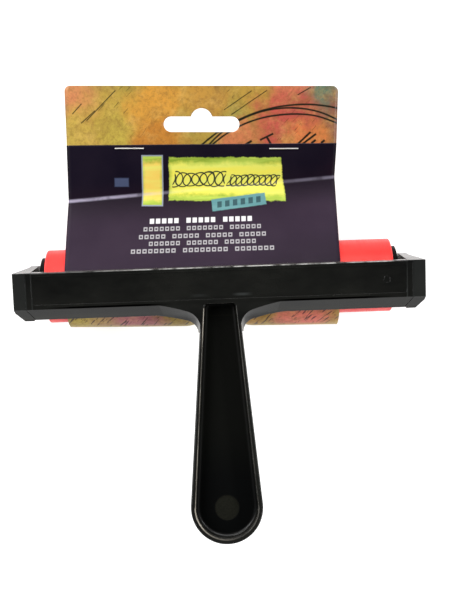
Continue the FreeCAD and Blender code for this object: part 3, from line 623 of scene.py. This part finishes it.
def ink_strokes(g, x, y):
    """Loose dark pen work: rings, long strokes and fine slanted hatching."""
    wobble = g.times(g.subtract(g.noise(60.0, detail=1.0), 0.5), 1.6)
    x_hand, y_hand = g.add(x, wobble), g.add(y, wobble)
    ink = 0.0
    for centre, radius in INK_RINGS:
        ink = g.largest(ink, ring_line(g, x_hand, y_hand, centre, radius))
    for start, end, half in STROKES:
        ink = g.largest(ink, pen_stroke(g, x_hand, y_hand, start, end, half))
    ink = g.times(ink, g.remap(y, 40.0, 44.0))
    slanted = g.join(g.times(g.add(x, g.times(y, -0.9)), 0.001), g.times(g.add(y, x), 0.00012), 0.21)
    on_loop = g.remap(y, -6.0, -4.0, 1.0, 0.0)
    least = g.mix_value(on_loop, 0.635, 0.585)
    fine = g.remap(g.subtract(g.noise(900.0, detail=2.0, vector=slanted), least), 0.0, 0.028)
    fine_zone = g.largest(g.times(g.remap(g.noise(34.0, detail=2.0), 0.5, 0.6), 0.55), on_loop)
    return g.math("MAXIMUM", ink, g.times(fine, fine_zone), clamp=True)


def card_finish(g, colour, roughness=0.3, gloss=0.3):
    """The coated surface: a slight gloss, fibre grain and soft handling waves."""
    fibres = g.noise(1500.0, detail=4.0, roughness=0.6)
    waves = g.noise(70.0, detail=2.0)
    normal = g.bump(waves, 0.2 * MM, 0.35)
    normal = g.bump(fibres, 0.012 * MM, 0.4, normal)
    g.set(Base_Color=colour, Normal=normal, Specular_IOR_Level=gloss,
          Roughness=g.remap(fibres, 0.3, 0.7, roughness - 0.04, roughness + 0.08))


def wash_print():
    """The header side: watercolour wash with pen work."""
    g = Graph("card_wash_print")
    across, along = card_place(g)
    colour = wash_colour(g, across, along)
    colour = g.mix(ink_strokes(g, across, along), colour, (0.008, 0.010, 0.006))
    card_finish(g, colour)
    return g.material


def swatch_colour(g, across, along, colour):
    """Brushed yellow strips with green edges, coils of pen line and a plain teal tag."""
    edge_noise = g.times(g.subtract(g.noise(260.0, detail=4.0, roughness=0.7), 0.5), 2.2)
    brush = g.noise(330.0, detail=4.0, stretch=(0.12, 1.0, 1.0))
    rough_x = g.add(across, edge_noise)
    rough_y = g.add(along, edge_noise)
    core_y = g.add(along, g.times(edge_noise, 2.2))
    green = g.mix(g.remap(brush, 0.35, 0.65), (0.22, 0.32, 0.03), (0.46, 0.58, 0.09))
    yellow = g.mix(g.remap(brush, 0.35, 0.7), (0.76, 0.69, 0.095), (0.68, 0.70, 0.15))
    amber = g.mix(g.remap(brush, 0.35, 0.7), (0.78, 0.52, 0.10), (0.72, 0.66, 0.14))
    torn = g.subtract(g.add(rough_x, g.times(g.subtract(along, SWATCH_PLACE[1]), 0.13)), TORN_EDGE)
    strip = g.times(g.box_mask(rough_x, rough_y, SWATCH_PLACE, SWATCH_HALF, 0.25),
                    g.remap(torn, -0.25, 0.25, 1.0, 0.0))
    core = g.box_mask(rough_x, core_y, SWATCH_PLACE, (SWATCH_HALF[0] - 0.6, SWATCH_HALF[1] - 2.6), 1.2)
    colour = g.mix(strip, colour, g.mix(core, green, yellow))
    frame_line = g.box_mask(across, along, CHIP_PLACE, (CHIP_HALF[0] + 0.55, CHIP_HALF[1] + 0.55), 0.12)
    chip = g.box_mask(across, along, CHIP_PLACE, CHIP_HALF, 0.12)
    chip_core = g.box_mask(rough_x, core_y, CHIP_PLACE, (CHIP_HALF[0], CHIP_HALF[1] - 2.4), 1.2)
    colour = g.mix(g.times(frame_line, 0.8), colour, (0.30, 0.34, 0.42))
    colour = g.mix(chip, colour, g.mix(chip_core, green, amber))
    colour = g.mix(g.box_mask(across, along, BLOCK_PLACE, BLOCK_HALF, 0.3), colour, (0.055, 0.07, 0.13))
    for doodle in DOODLES:
        colour = g.mix(coil_line(g, across, along, *doodle), colour, (0.028, 0.036, 0.026))
    tag = g.box_mask(g.add(across, g.times(edge_noise, 0.3)), g.add(along, g.times(edge_noise, 0.3)),
                     TAG_PLACE, TAG_HALF, 0.2, turn=TAG_TURN)
    teal = g.mix(g.remap(brush, 0.3, 0.7), (0.08, 0.21, 0.23), (0.13, 0.29, 0.30))
    marks = g.box_mask(across, along, TAG_PLACE, (TAG_HALF[0] - 1.6, 1.3), 0.15, turn=TAG_TURN)
    gaps = g.remap(g.fraction(g.times(across, 0.29)), 0.52, 0.62, 1.0, 0.0)
    teal = g.mix(g.times(marks, gaps, 0.75), teal, (0.012, 0.03, 0.04))
    return g.mix(tag, colour, teal)


def coil_line(g, across, along, place, half, pitch, height, lean):
    """A row of overlapping slanted loops, like a coil drawn with a pen."""
    wobble = g.times(g.subtract(g.noise(110.0, detail=1.0), 0.5), 2.4)
    rise = g.add(g.subtract(along, place[1]), wobble)
    run = g.add(g.subtract(g.subtract(across, place[0]), g.times(rise, lean)), wobble)
    line = 0.0
    for shift in (0.0, 0.5):
        cell = g.fraction(g.add(g.times(run, 1.0 / pitch), 50.0 + shift))
        x = g.times(g.subtract(cell, 0.5), 2.1)
        y = g.times(rise, 1.0 / height)
        reach = g.length(x, y)
        off = g.times(g.absolute(g.subtract(reach, 1.0)), 0.5 * pitch)
        line = g.largest(line, g.remap(off, 0.2, 0.42, 1.0, 0.0))
    return g.times(line, g.box_mask(run, rise, (0.0, 0.0), (half, height + 0.6), 0.1))


def greeked_rows(g, across, along):
    """Rows of plain blocks where the card carries its description; all but the first hollow."""
    tilt = g.subtract(along, g.times(across, ROW_LEAN))
    mask = 0.0
    for number, (place, centre, count, pitch, word, height, strength) in enumerate(ROWS):
        row = g.box_mask(across, tilt, (centre, place), (count * pitch / 2, height), 0.14)
        step = g.times(g.subtract(across, centre - count * pitch / 2), 1.0 / pitch)
        cell = g.fraction(step)
        blocks = g.times(g.remap(cell, 0.08, 0.14), g.remap(cell, 0.78, 0.86, 1.0, 0.0))
        in_word = g.fraction(g.times(g.math("FLOOR", step), 1.0 / word))
        words = g.remap(in_word, 1.0 - 1.2 / word, 1.0 - 1.1 / word, 1.0, 0.0)
        solid = 1.0
        if number:
            side = g.remap(g.absolute(g.subtract(cell, 0.47)), 0.15, 0.22)
            level = g.absolute(g.subtract(tilt, place))
            solid = g.largest(side, g.remap(level, height * 0.3, height * 0.55))
        mask = g.largest(mask, g.times(row, blocks, words, solid, strength))
    return mask


def flap_print():
    """The outside of the flap: dark purple with a swatch and blocks, painted shade towards the loop and
    below the crease, and a painted highlight along the crease; the wash beyond the bar.
    """
    g = Graph("card_flap_print")
    across, along = card_place(g)
    crease = g.add(CREASE_PLACE, g.times(across, CREASE_SLOPE))
    from_crease = g.subtract(along, crease)
    above = g.remap(from_crease, -1.0, 8.0, smooth=True)
    mottle = g.remap(g.noise(45.0, detail=4.0), 0.3, 0.7)
    lower = g.mix(mottle, (0.021, 0.011, 0.024), (0.028, 0.016, 0.031))
    upper = g.mix(mottle, (0.0045, 0.003, 0.009), (0.010, 0.0065, 0.014))
    # Painted shade: darker towards the loop at the lower right and in the valley just below the crease.
    shaded = g.times(g.remap(along, 24.0, 8.0), g.remap(across, 15.0, 58.0, 0.0, 0.55))
    valley = g.remap(from_crease, 0.0, -14.0, 0.6, 0.0, smooth=True)
    lower = g.mix(g.largest(shaded, valley), lower, (0.002, 0.001, 0.003))
    colour = g.mix(above, lower, upper)
    colour = swatch_colour(g, across, along, colour)
    colour = g.mix(greeked_rows(g, across, along), colour, (0.72, 0.70, 0.72))
    # Painted highlight along the crease, strongest at the left.
    crease_highlight = g.times(
        g.remap(g.absolute(from_crease), 0.15, 1.1, 1.0, 0.0, smooth=True),
        g.remap(g.noise(160.0, detail=4.0), 0.3, 0.5, 0.35, 1.0),
        g.remap(g.absolute(g.subtract(across, CREASE_HIGHLIGHT_MIDDLE)), 18.0, 52.0, 0.12, 0.7),
        g.remap(across, 10.0, 50.0, 1.0, 0.45),
    )
    colour = g.mix(crease_highlight, colour, (0.42, 0.38, 0.50))
    wash = g.mix(g.times(ink_strokes(g, across, along), 0.85), wash_colour(g, across, along),
                 (0.04, 0.02, 0.025))
    _, y, z = g.split()
    turn = g.times(g.remap(y, -12.0 * MM, -10.0 * MM, 1.0, 0.0), g.remap(z, 4.5 * MM, 7.5 * MM, 0.75, 0.0))
    wash = g.mix(turn, wash, (0.42, 0.31, 0.08))
    colour = g.mix(g.remap(y, 2.0 * MM, 3.0 * MM), wash, colour)
    card_finish(g, colour, roughness=0.36, gloss=0.1)
    return g.material


def back_print():
    """The underside of the card: a pale panel with rows of blocks inside a wash border."""
    g = Graph("card_back_print")
    across, along = card_place(g)
    wash = wash_colour(g, across, along)
    panel = g.box_mask(across, along, *BACK_PANEL, 0.2)
    paper = g.mix(g.remap(g.noise(60.0), 0.3, 0.7), (0.74, 0.72, 0.66), (0.80, 0.78, 0.73))
    count = g.times(along, LINES_PER_MM)
    lines = g.times(g.remap(g.fraction(count), 0.55, 0.6), g.box_mask(across, along, *BACK_LINES, 0.3))
    letter = g.fraction(g.times(g.add(across, g.times(g.math("FLOOR", count), 0.7)), 0.5))
    lines = g.times(lines, g.remap(letter, 0.74, 0.82, 1.0, 0.1), 0.75)
    colour = g.mix(panel, wash, g.mix(lines, paper, (0.05, 0.035, 0.07)))
    card_finish(g, colour)
    return g.material


def bare_board(name, colour):
    """Uncoated board in the colour given: grey-white for the inside of the card and its cut edges,
    near-black painted shade for the flap's cut edge.
    """
    g = Graph(name)
    fibres = g.noise(900.0, detail=5.0, roughness=0.7)
    flecks = g.remap(g.noise(2400.0, detail=2.0), 0.66, 0.74)
    shade = g.mix(g.remap(fibres, 0.3, 0.7), tuple(0.88 * c for c in colour), colour)
    shade = g.mix(g.times(flecks, 0.3), shade, (0.35, 0.32, 0.28))
    normal = g.bump(fibres, 0.03 * MM, 0.6)
    g.set(Base_Color=shade, Roughness=0.82, Normal=normal)
    return g.material


# ---------------------------------------------------------------- card sheet


def spread(start, end, count):
    return [start + (end - start) * i / count for i in range(count + 1)]


def smooth_max(first, second, width):
    """The larger of two heights, with the crossing rounded over a given width."""
    share = max(0.0, min(1.0, 0.5 + 0.5 * (first - second) / width))
    return second + (first - second) * share + width * share * (1.0 - share) * 0.5


def plan_point(across, along):
    """X and Y in the frame for a place on the card, in millimetres."""
    cosine, sine = math.cos(CARD_LEAN), math.sin(CARD_LEAN)
    x = (across - CARD_SHIFT) * cosine + along * sine
    y = along * cosine - (across - CARD_SHIFT) * sine
    return x, y


def loop_radius(angle, across):
    """The sheet hugs the roller and sags away from it under the handle, most at the right."""
    share = 0.5 + 0.5 * across / CARD_HALF_WIDTH
    sag = LOOP_SAG_LEFT + (LOOP_SAG_RIGHT - LOOP_SAG_LEFT) * max(0.0, share) ** LOOP_SAG_POWER
    sag -= ROOT_RELIEF * math.exp(-(((across - CARD_SHIFT) / ROOT_RELIEF_WIDTH) ** ROOT_RELIEF_POWER))
    return LOOP_RADIUS + sag * max(0.0, math.cos(angle - LOOP_SAG_ANGLE)) ** SAG_FOCUS


def loop_exit(angle, across):
    """Where the sheet leaves the loop at one column: place along the card, and height."""
    radius = loop_radius(angle, across)
    along = radius * math.cos(angle) + (across - CARD_SHIFT) * math.tan(CARD_LEAN)
    return along, radius * math.sin(angle)


def wound_share(kind, value):
    """How far the sheet has gone round the loop: 0 on the flap and header, 1 underneath."""
    if kind == "flap":
        return LOOP_ENTRY_SHARE * max(0.0, 1.0 - 2.0 * value)
    if kind == "loop":
        turned = min(1.0, (value - LOOP_FRONT) / (math.pi - LOOP_FRONT))
        return LOOP_ENTRY_SHARE + (1.0 - LOOP_ENTRY_SHARE) * turned
    return 1.0 - value if kind == "back" else 0.0


def lap_height(across, along):
    """Height of the flap's face between the crease and its top edge, and of the header on."""
    crease = CREASE_PLACE + CREASE_SLOPE * across
    dip = CREASE_HEIGHT - CREASE_DIP * across
    if along > FLAP_TOP:
        return FLAP_TOP_HEIGHT + (along - FLAP_TOP) * math.tan(HEADER_SLOPE)
    return dip + (FLAP_TOP_HEIGHT - dip) * (along - crease) / (FLAP_TOP - crease)


def flap_height(across, along):
    """Height of the front flap: straight off the loop, then a valley crease and the lap."""
    start, height = loop_exit(LOOP_FRONT, across)
    crease = CREASE_PLACE + CREASE_SLOPE * across
    dip = CREASE_HEIGHT - CREASE_DIP * across
    run = (along - start) / (crease - start)
    bow = FLAP_BOW * math.sin(math.pi * min(1.0, run))
    return smooth_max(height + (dip - height) * run + bow, lap_height(across, along), CREASE_ROUND)


def back_height(across, along):
    """Height of the back panel: a soft belly off the loop, then close under the lap."""
    lap_start = FLAP_TOP - LAP_LENGTH
    if along >= lap_start:
        return lap_height(across, along) - LAP_GAP
    start, height = loop_exit(LOOP_BACK, across)
    span = lap_start - start
    share = (along - start) / span
    end = lap_height(across, lap_start) - LAP_GAP
    cube, square = share ** 3, share ** 2
    belly = (
        (2 * cube - 3 * square + 1) * height
        + (cube - 2 * square + share) * span * math.tan(LOOP_BACK + math.pi / 2)
        + (3 * square - 2 * cube) * end
        + (cube - square) * span * BELLY_END_SLOPE
    )
    return min(belly, flap_height(across, along) - LAP_GAP)


def half_width(along):
    """Half the card's width; it narrows in an arc at the header's round corners."""
    short = max(0.0, CARD_CORNER - (HEADER_TOP - along))
    return CARD_HALF_WIDTH - CARD_CORNER + math.sqrt(max(0.0, CARD_CORNER ** 2 - short ** 2))


def card_rows():
    """The sheet's rows: down the flap, round the loop, then up the back to the header."""
    rows = [("flap", share) for share in spread(1.0, 0.0, FLAP_STEPS)]
    rows += [("loop", angle) for angle in spread(LOOP_FRONT, 2 * math.pi + LOOP_BACK, LOOP_STEPS)[1:]]
    straight = HEADER_TOP - CARD_CORNER
    rows += [("back", share) for share in spread(0.0, 1.0, BACK_STEPS)[1:]]
    rows += [("header", along) for along in spread(FLAP_TOP - LAP_LENGTH, straight, HEADER_STEPS)[1:]]
    rows += [("header", straight + CARD_CORNER * math.sin(turn))
             for turn in spread(0.0, math.pi / 2, CORNER_STEPS)[1:]]
    return rows


def sheet_point(kind, value, share):
    """One point of the sheet; share runs from -1 to 1 across it."""
    wound = wound_share(kind, value)
    half = half_width(value) if kind == "header" else CARD_HALF_WIDTH - LOOP_TUCK * wound
    across = share * half + LOOP_SLIP * wound
    if kind == "loop":
        radius = loop_radius(value, across)
        y = radius * math.cos(value)
        x = (across - CARD_SHIFT) / math.cos(CARD_LEAN) + y * math.tan(CARD_LEAN)
        return x, y, radius * math.sin(value)
    if kind == "flap":
        start, _ = loop_exit(LOOP_FRONT, across)
        along = start + (FLAP_TOP + FLAP_TOP_LEAN * across - start) * value
        height = flap_height(across, along)
    elif kind == "back":
        start, _ = loop_exit(LOOP_BACK, across)
        along = start + (FLAP_TOP - LAP_LENGTH - start) * value
        height = back_height(across, along)
    else:
        along = value
        height = back_height(across, along)
    return *plan_point(across, along), height


def card_materials(data):
    """Fill the slots: outer faces, inner faces and cut edges of the flap, back and header."""
    flap, back, header = flap_print(), back_print(), wash_print()
    inside = bare_board("card_inside", (0.60, 0.58, 0.54))
    edge = bare_board("card_cut_edge", (0.70, 0.67, 0.62))
    # The flap's cut edge is painted near-black as painted shade, where the bare board is pale.
    shaded_flap_edge = bare_board("flap_cut_edge_painted_shade", (0.10, 0.08, 0.10))
    for material in (flap, back, back, inside, inside, header, shaded_flap_edge, edge, edge):
        data.materials.append(material)


def card_sheet():
    """The card as one bent sheet with its outer face outwards."""
    rows = card_rows()
    sheet = bmesh.new()
    grid = [
        [sheet.verts.new(Vector(sheet_point(kind, value, share)) * MM)
         for share in spread(-1.0, 1.0, CARD_COLUMNS)]
        for kind, value in rows
    ]
    for number in range(len(rows) - 1):
        kind, value = rows[number + 1]
        upper, lower = grid[number], grid[number + 1]
        on_header = kind == "header" and value > FLAP_TOP - LAP_LENGTH / 2
        part = HEADER_SLOT if on_header else BACK_SLOT if kind in ("back", "header") else FLAP_SLOT
        for i in range(CARD_COLUMNS):
            face = sheet.faces.new((upper[i], lower[i], lower[i + 1], upper[i + 1]))
            face.material_index = part
            face.smooth = True
    data = bpy.data.meshes.new("printed_header_card")
    sheet.to_mesh(data)
    sheet.free()
    return data


def slot_outline():
    """The hang slot: a long slot with round ends and a round bump on its upper side."""
    half, high, centre = SLOT_HALF_WIDTH, SLOT_HALF_HEIGHT, SLOT_PLACE
    bump, rise = SLOT_BUMP, SLOT_BUMP_RISE
    points = [(half - high + high * math.cos(turn), centre + high * math.sin(turn))
              for turn in spread(-math.pi / 2, math.pi / 2, 14)]
    reach = math.asin((high - rise) / bump)
    points += [(bump * math.cos(turn), centre + rise + bump * math.sin(turn))
               for turn in spread(reach, math.pi - reach, 20)]
    points += [(high - half + high * math.cos(turn), centre + high * math.sin(turn))
               for turn in spread(math.pi / 2, 3 * math.pi / 2, 14)]
    return points


def prism(name, outline, low, high, material_index):
    """A closed upright prism over an outline given on the card."""
    solid = bmesh.new()
    floor = [solid.verts.new(Vector((*plan_point(*point), low)) * MM) for point in outline]
    roof = [solid.verts.new(Vector((*plan_point(*point), high)) * MM) for point in outline]
    solid.faces.new(list(reversed(floor)))
    solid.faces.new(roof)
    for i, j in zip(range(len(outline)), list(range(1, len(outline))) + [0]):
        solid.faces.new((floor[i], floor[j], roof[j], roof[i]))
    for face in solid.faces:
        face.material_index = material_index
    data = bpy.data.meshes.new(name)
    solid.to_mesh(data)
    solid.free()
    return new_object(name, data)


def new_object(name, data):
    piece = bpy.data.objects.new(name, data)
    bpy.context.scene.collection.objects.link(piece)
    return piece


def apply_modifiers(piece):
    """Replace a piece's mesh by its evaluated mesh."""
    finished = bpy.data.meshes.new_from_object(
        piece.evaluated_get(bpy.context.evaluated_depsgraph_get()))
    piece.modifiers.clear()
    piece.data = finished


def make_card():
    """The printed card, with its thickness, its hang slot and its cut edges."""
    card = new_object("printed_header_card", card_sheet())
    card_materials(card.data)
    thick = card.modifiers.new("thickness", "SOLIDIFY")
    thick.thickness = CARD_THICKNESS * MM
    thick.offset = -1.0
    thick.use_even_offset = True
    thick.material_offset = INSIDE_OFFSET
    thick.material_offset_rim = EDGE_OFFSET
    cutter = prism("hang_slot_cutter", slot_outline(), -20.0, 15.0, material_index=EDGE_SLOT)
    for material in card.data.materials:
        cutter.data.materials.append(material)
    cut = card.modifiers.new("hang_slot", "BOOLEAN")
    cut.operation = "DIFFERENCE"
    cut.object = cutter
    cut.solver = "EXACT"
    apply_modifiers(card)
    bpy.data.objects.remove(cutter)
    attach(card, "card")
    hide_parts("header_card")


# ---------------------------------------------------------------- CAD nodes


def paint(node, material):
    """Give a CAD node a material in place of its plain one."""
    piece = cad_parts[node]
    piece.data.materials.clear()
    piece.data.materials.append(material)


def paint_nodes():
    nylon = satin_plastic("natural_nylon", (0.70, 0.68, 0.62), (0.80, 0.78, 0.72), 0.4)
    hub = satin_plastic("satin_black_hub", (0.002, 0.002, 0.002), (0.004, 0.004, 0.004), 0.45, gloss=0.05)
    core = satin_plastic("grey_core", (0.30, 0.30, 0.30), (0.38, 0.38, 0.37), 0.5)
    steel = metal("drawn_steel", (0.56, 0.56, 0.55), 0.22, (0.04, 1.0, 1.0))
    zinc = metal("zinc_plate", (0.62, 0.64, 0.66), 0.26, (1.0, 0.4, 0.4))
    wire = metal("staple_wire", (0.92, 0.90, 0.86), 0.42, (0.05, 1.0, 1.0))
    choice = {
        "frame": black_plastic(),
        "rubber_sleeve": red_rubber(),
        "core_tube": core,
        "axle_rod": steel,
        "axle_push_nuts": zinc,
        "staples": wire,
    }
    for side in ("left", "right"):
        choice[f"end_hub_{side}"] = hub
        choice[f"bush_{side}"] = nylon
        choice[f"thrust_washer_{side}"] = nylon
    for node, material in choice.items():
        paint(node, material)


# ---------------------------------------------------------------- stage


def floor_material():
    g = Graph("studio_floor")
    mottle = g.noise(3.0, detail=3.0)
    g.set(Base_Color=g.mix(mottle, (0.44, 0.44, 0.44), (0.47, 0.47, 0.47)), Roughness=0.9,
          Emission_Color=(1.0, 1.0, 1.0), Emission_Strength=FLOOR_GLOW)
    return g.material


def make_floor():
    low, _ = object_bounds()
    half = FLOOR_HALF
    sheet = bmesh.new()
    corners = [sheet.verts.new((x, y, low[2] - FLOOR_DROP * MM))
               for x, y in ((-half, -half), (half, -half), (half, half), (-half, half))]
    sheet.faces.new(corners)
    data = bpy.data.meshes.new("studio_floor")
    sheet.to_mesh(data)
    sheet.free()
    floor = new_object("studio_floor", data)
    data.materials.append(floor_material())


def smooth_range(tree, source, low, high, start, end):
    """Map low..high of a socket smoothly to start..end."""
    node = tree.nodes.new("ShaderNodeMapRange")
    node.interpolation_type = "SMOOTHSTEP"
    for name, number in (("From Min", low), ("From Max", high), ("To Min", start), ("To Max", end)):
        node.inputs[name].default_value = number
    tree.links.new(source, node.inputs["Value"])
    return node.outputs["Result"]


def make_world():
    """A studio dome: dark straight above, bright towards the horizon, dimmer at the front."""
    world = bpy.data.worlds.new("studio")
    bpy.context.scene.world = world
    world.use_nodes = True
    tree = world.node_tree
    tree.nodes.clear()
    output = tree.nodes.new("ShaderNodeOutputWorld")
    background = tree.nodes.new("ShaderNodeBackground")
    coordinate = tree.nodes.new("ShaderNodeTexCoord")
    split = tree.nodes.new("ShaderNodeSeparateXYZ")
    tree.links.new(coordinate.outputs["Generated"], split.inputs[0])
    level = smooth_range(tree, split.outputs[2], 0.25, 0.92, DOME_SIDE, DOME_TOP)
    front = smooth_range(tree, split.outputs[1], -0.5, 0.25, DOME_FRONT, 1.0)
    strength = tree.nodes.new("ShaderNodeMath")
    strength.operation = "MULTIPLY"
    tree.links.new(level, strength.inputs[0])
    tree.links.new(front, strength.inputs[1])
    tree.links.new(strength.outputs[0], background.inputs["Strength"])
    tree.links.new(background.outputs[0], output.inputs["Surface"])


def area_light(name, place, target, size, power):
    """A white rectangular lamp aimed at a point."""
    light = bpy.data.lights.new(name, "AREA")
    light.shape = "RECTANGLE"
    light.size, light.size_y = size
    light.energy = power
    lamp = new_object(name, light)
    lamp.location = place
    lamp.rotation_euler = (Vector(target) - Vector(place)).to_track_quat("-Z", "Y").to_euler()


def make_lights():
    area_light("key_left", (-0.75, 0.35, 0.75), (0.0, 0.0, 0.0), (0.7, 0.7), 11.0)
    area_light("fill_right", (0.8, -0.05, 0.6), (0.0, -0.05, 0.0), (1.3, 0.1), 8.0)
    area_light("back_low", (-0.6, 1.0, 0.1), (-0.05, 0.0, 0.0), (0.7, 0.14), 2.5)
    area_light("back_top", (0.0, 0.95, 0.6), (0.0, 0.0, 0.0), (1.2, 0.4), 4.5)
    area_light("front_low", (0.1, -1.0, 0.5), (0.0, 0.0, 0.0), (1.2, 0.4), 2.0)


def make_camera():
    """Almost straight down on the bar face, tipped and rolled a little."""
    back = Vector((0.0, math.sin(CAMERA_TIP), math.cos(CAMERA_TIP)))
    level = Vector((1.0, 0.0, 0.0))
    rise = Vector((0.0, math.cos(CAMERA_TIP), -math.sin(CAMERA_TIP)))
    right = math.cos(CAMERA_ROLL) * level - math.sin(CAMERA_ROLL) * rise
    up = math.sin(CAMERA_ROLL) * level + math.cos(CAMERA_ROLL) * rise
    sideways, upwards, away = CAMERA_PLACE
    place = (sideways * right + upwards * up + away * back) * MM
    turn = Matrix((right, up, back)).transposed().to_4x4()
    lens = bpy.data.cameras.new("camera")
    lens.sensor_width = CAMERA_SENSOR
    lens.lens = CAMERA_LENS
    lens.clip_start = 0.01
    camera = new_object("camera", lens)
    camera.matrix_world = Matrix.Translation(place) @ turn
    bpy.context.scene.camera = camera


paint_nodes()
make_card()
make_floor()
make_world()
make_lights()
make_camera()
bpy.context.scene.view_settings.view_transform = "Standard"
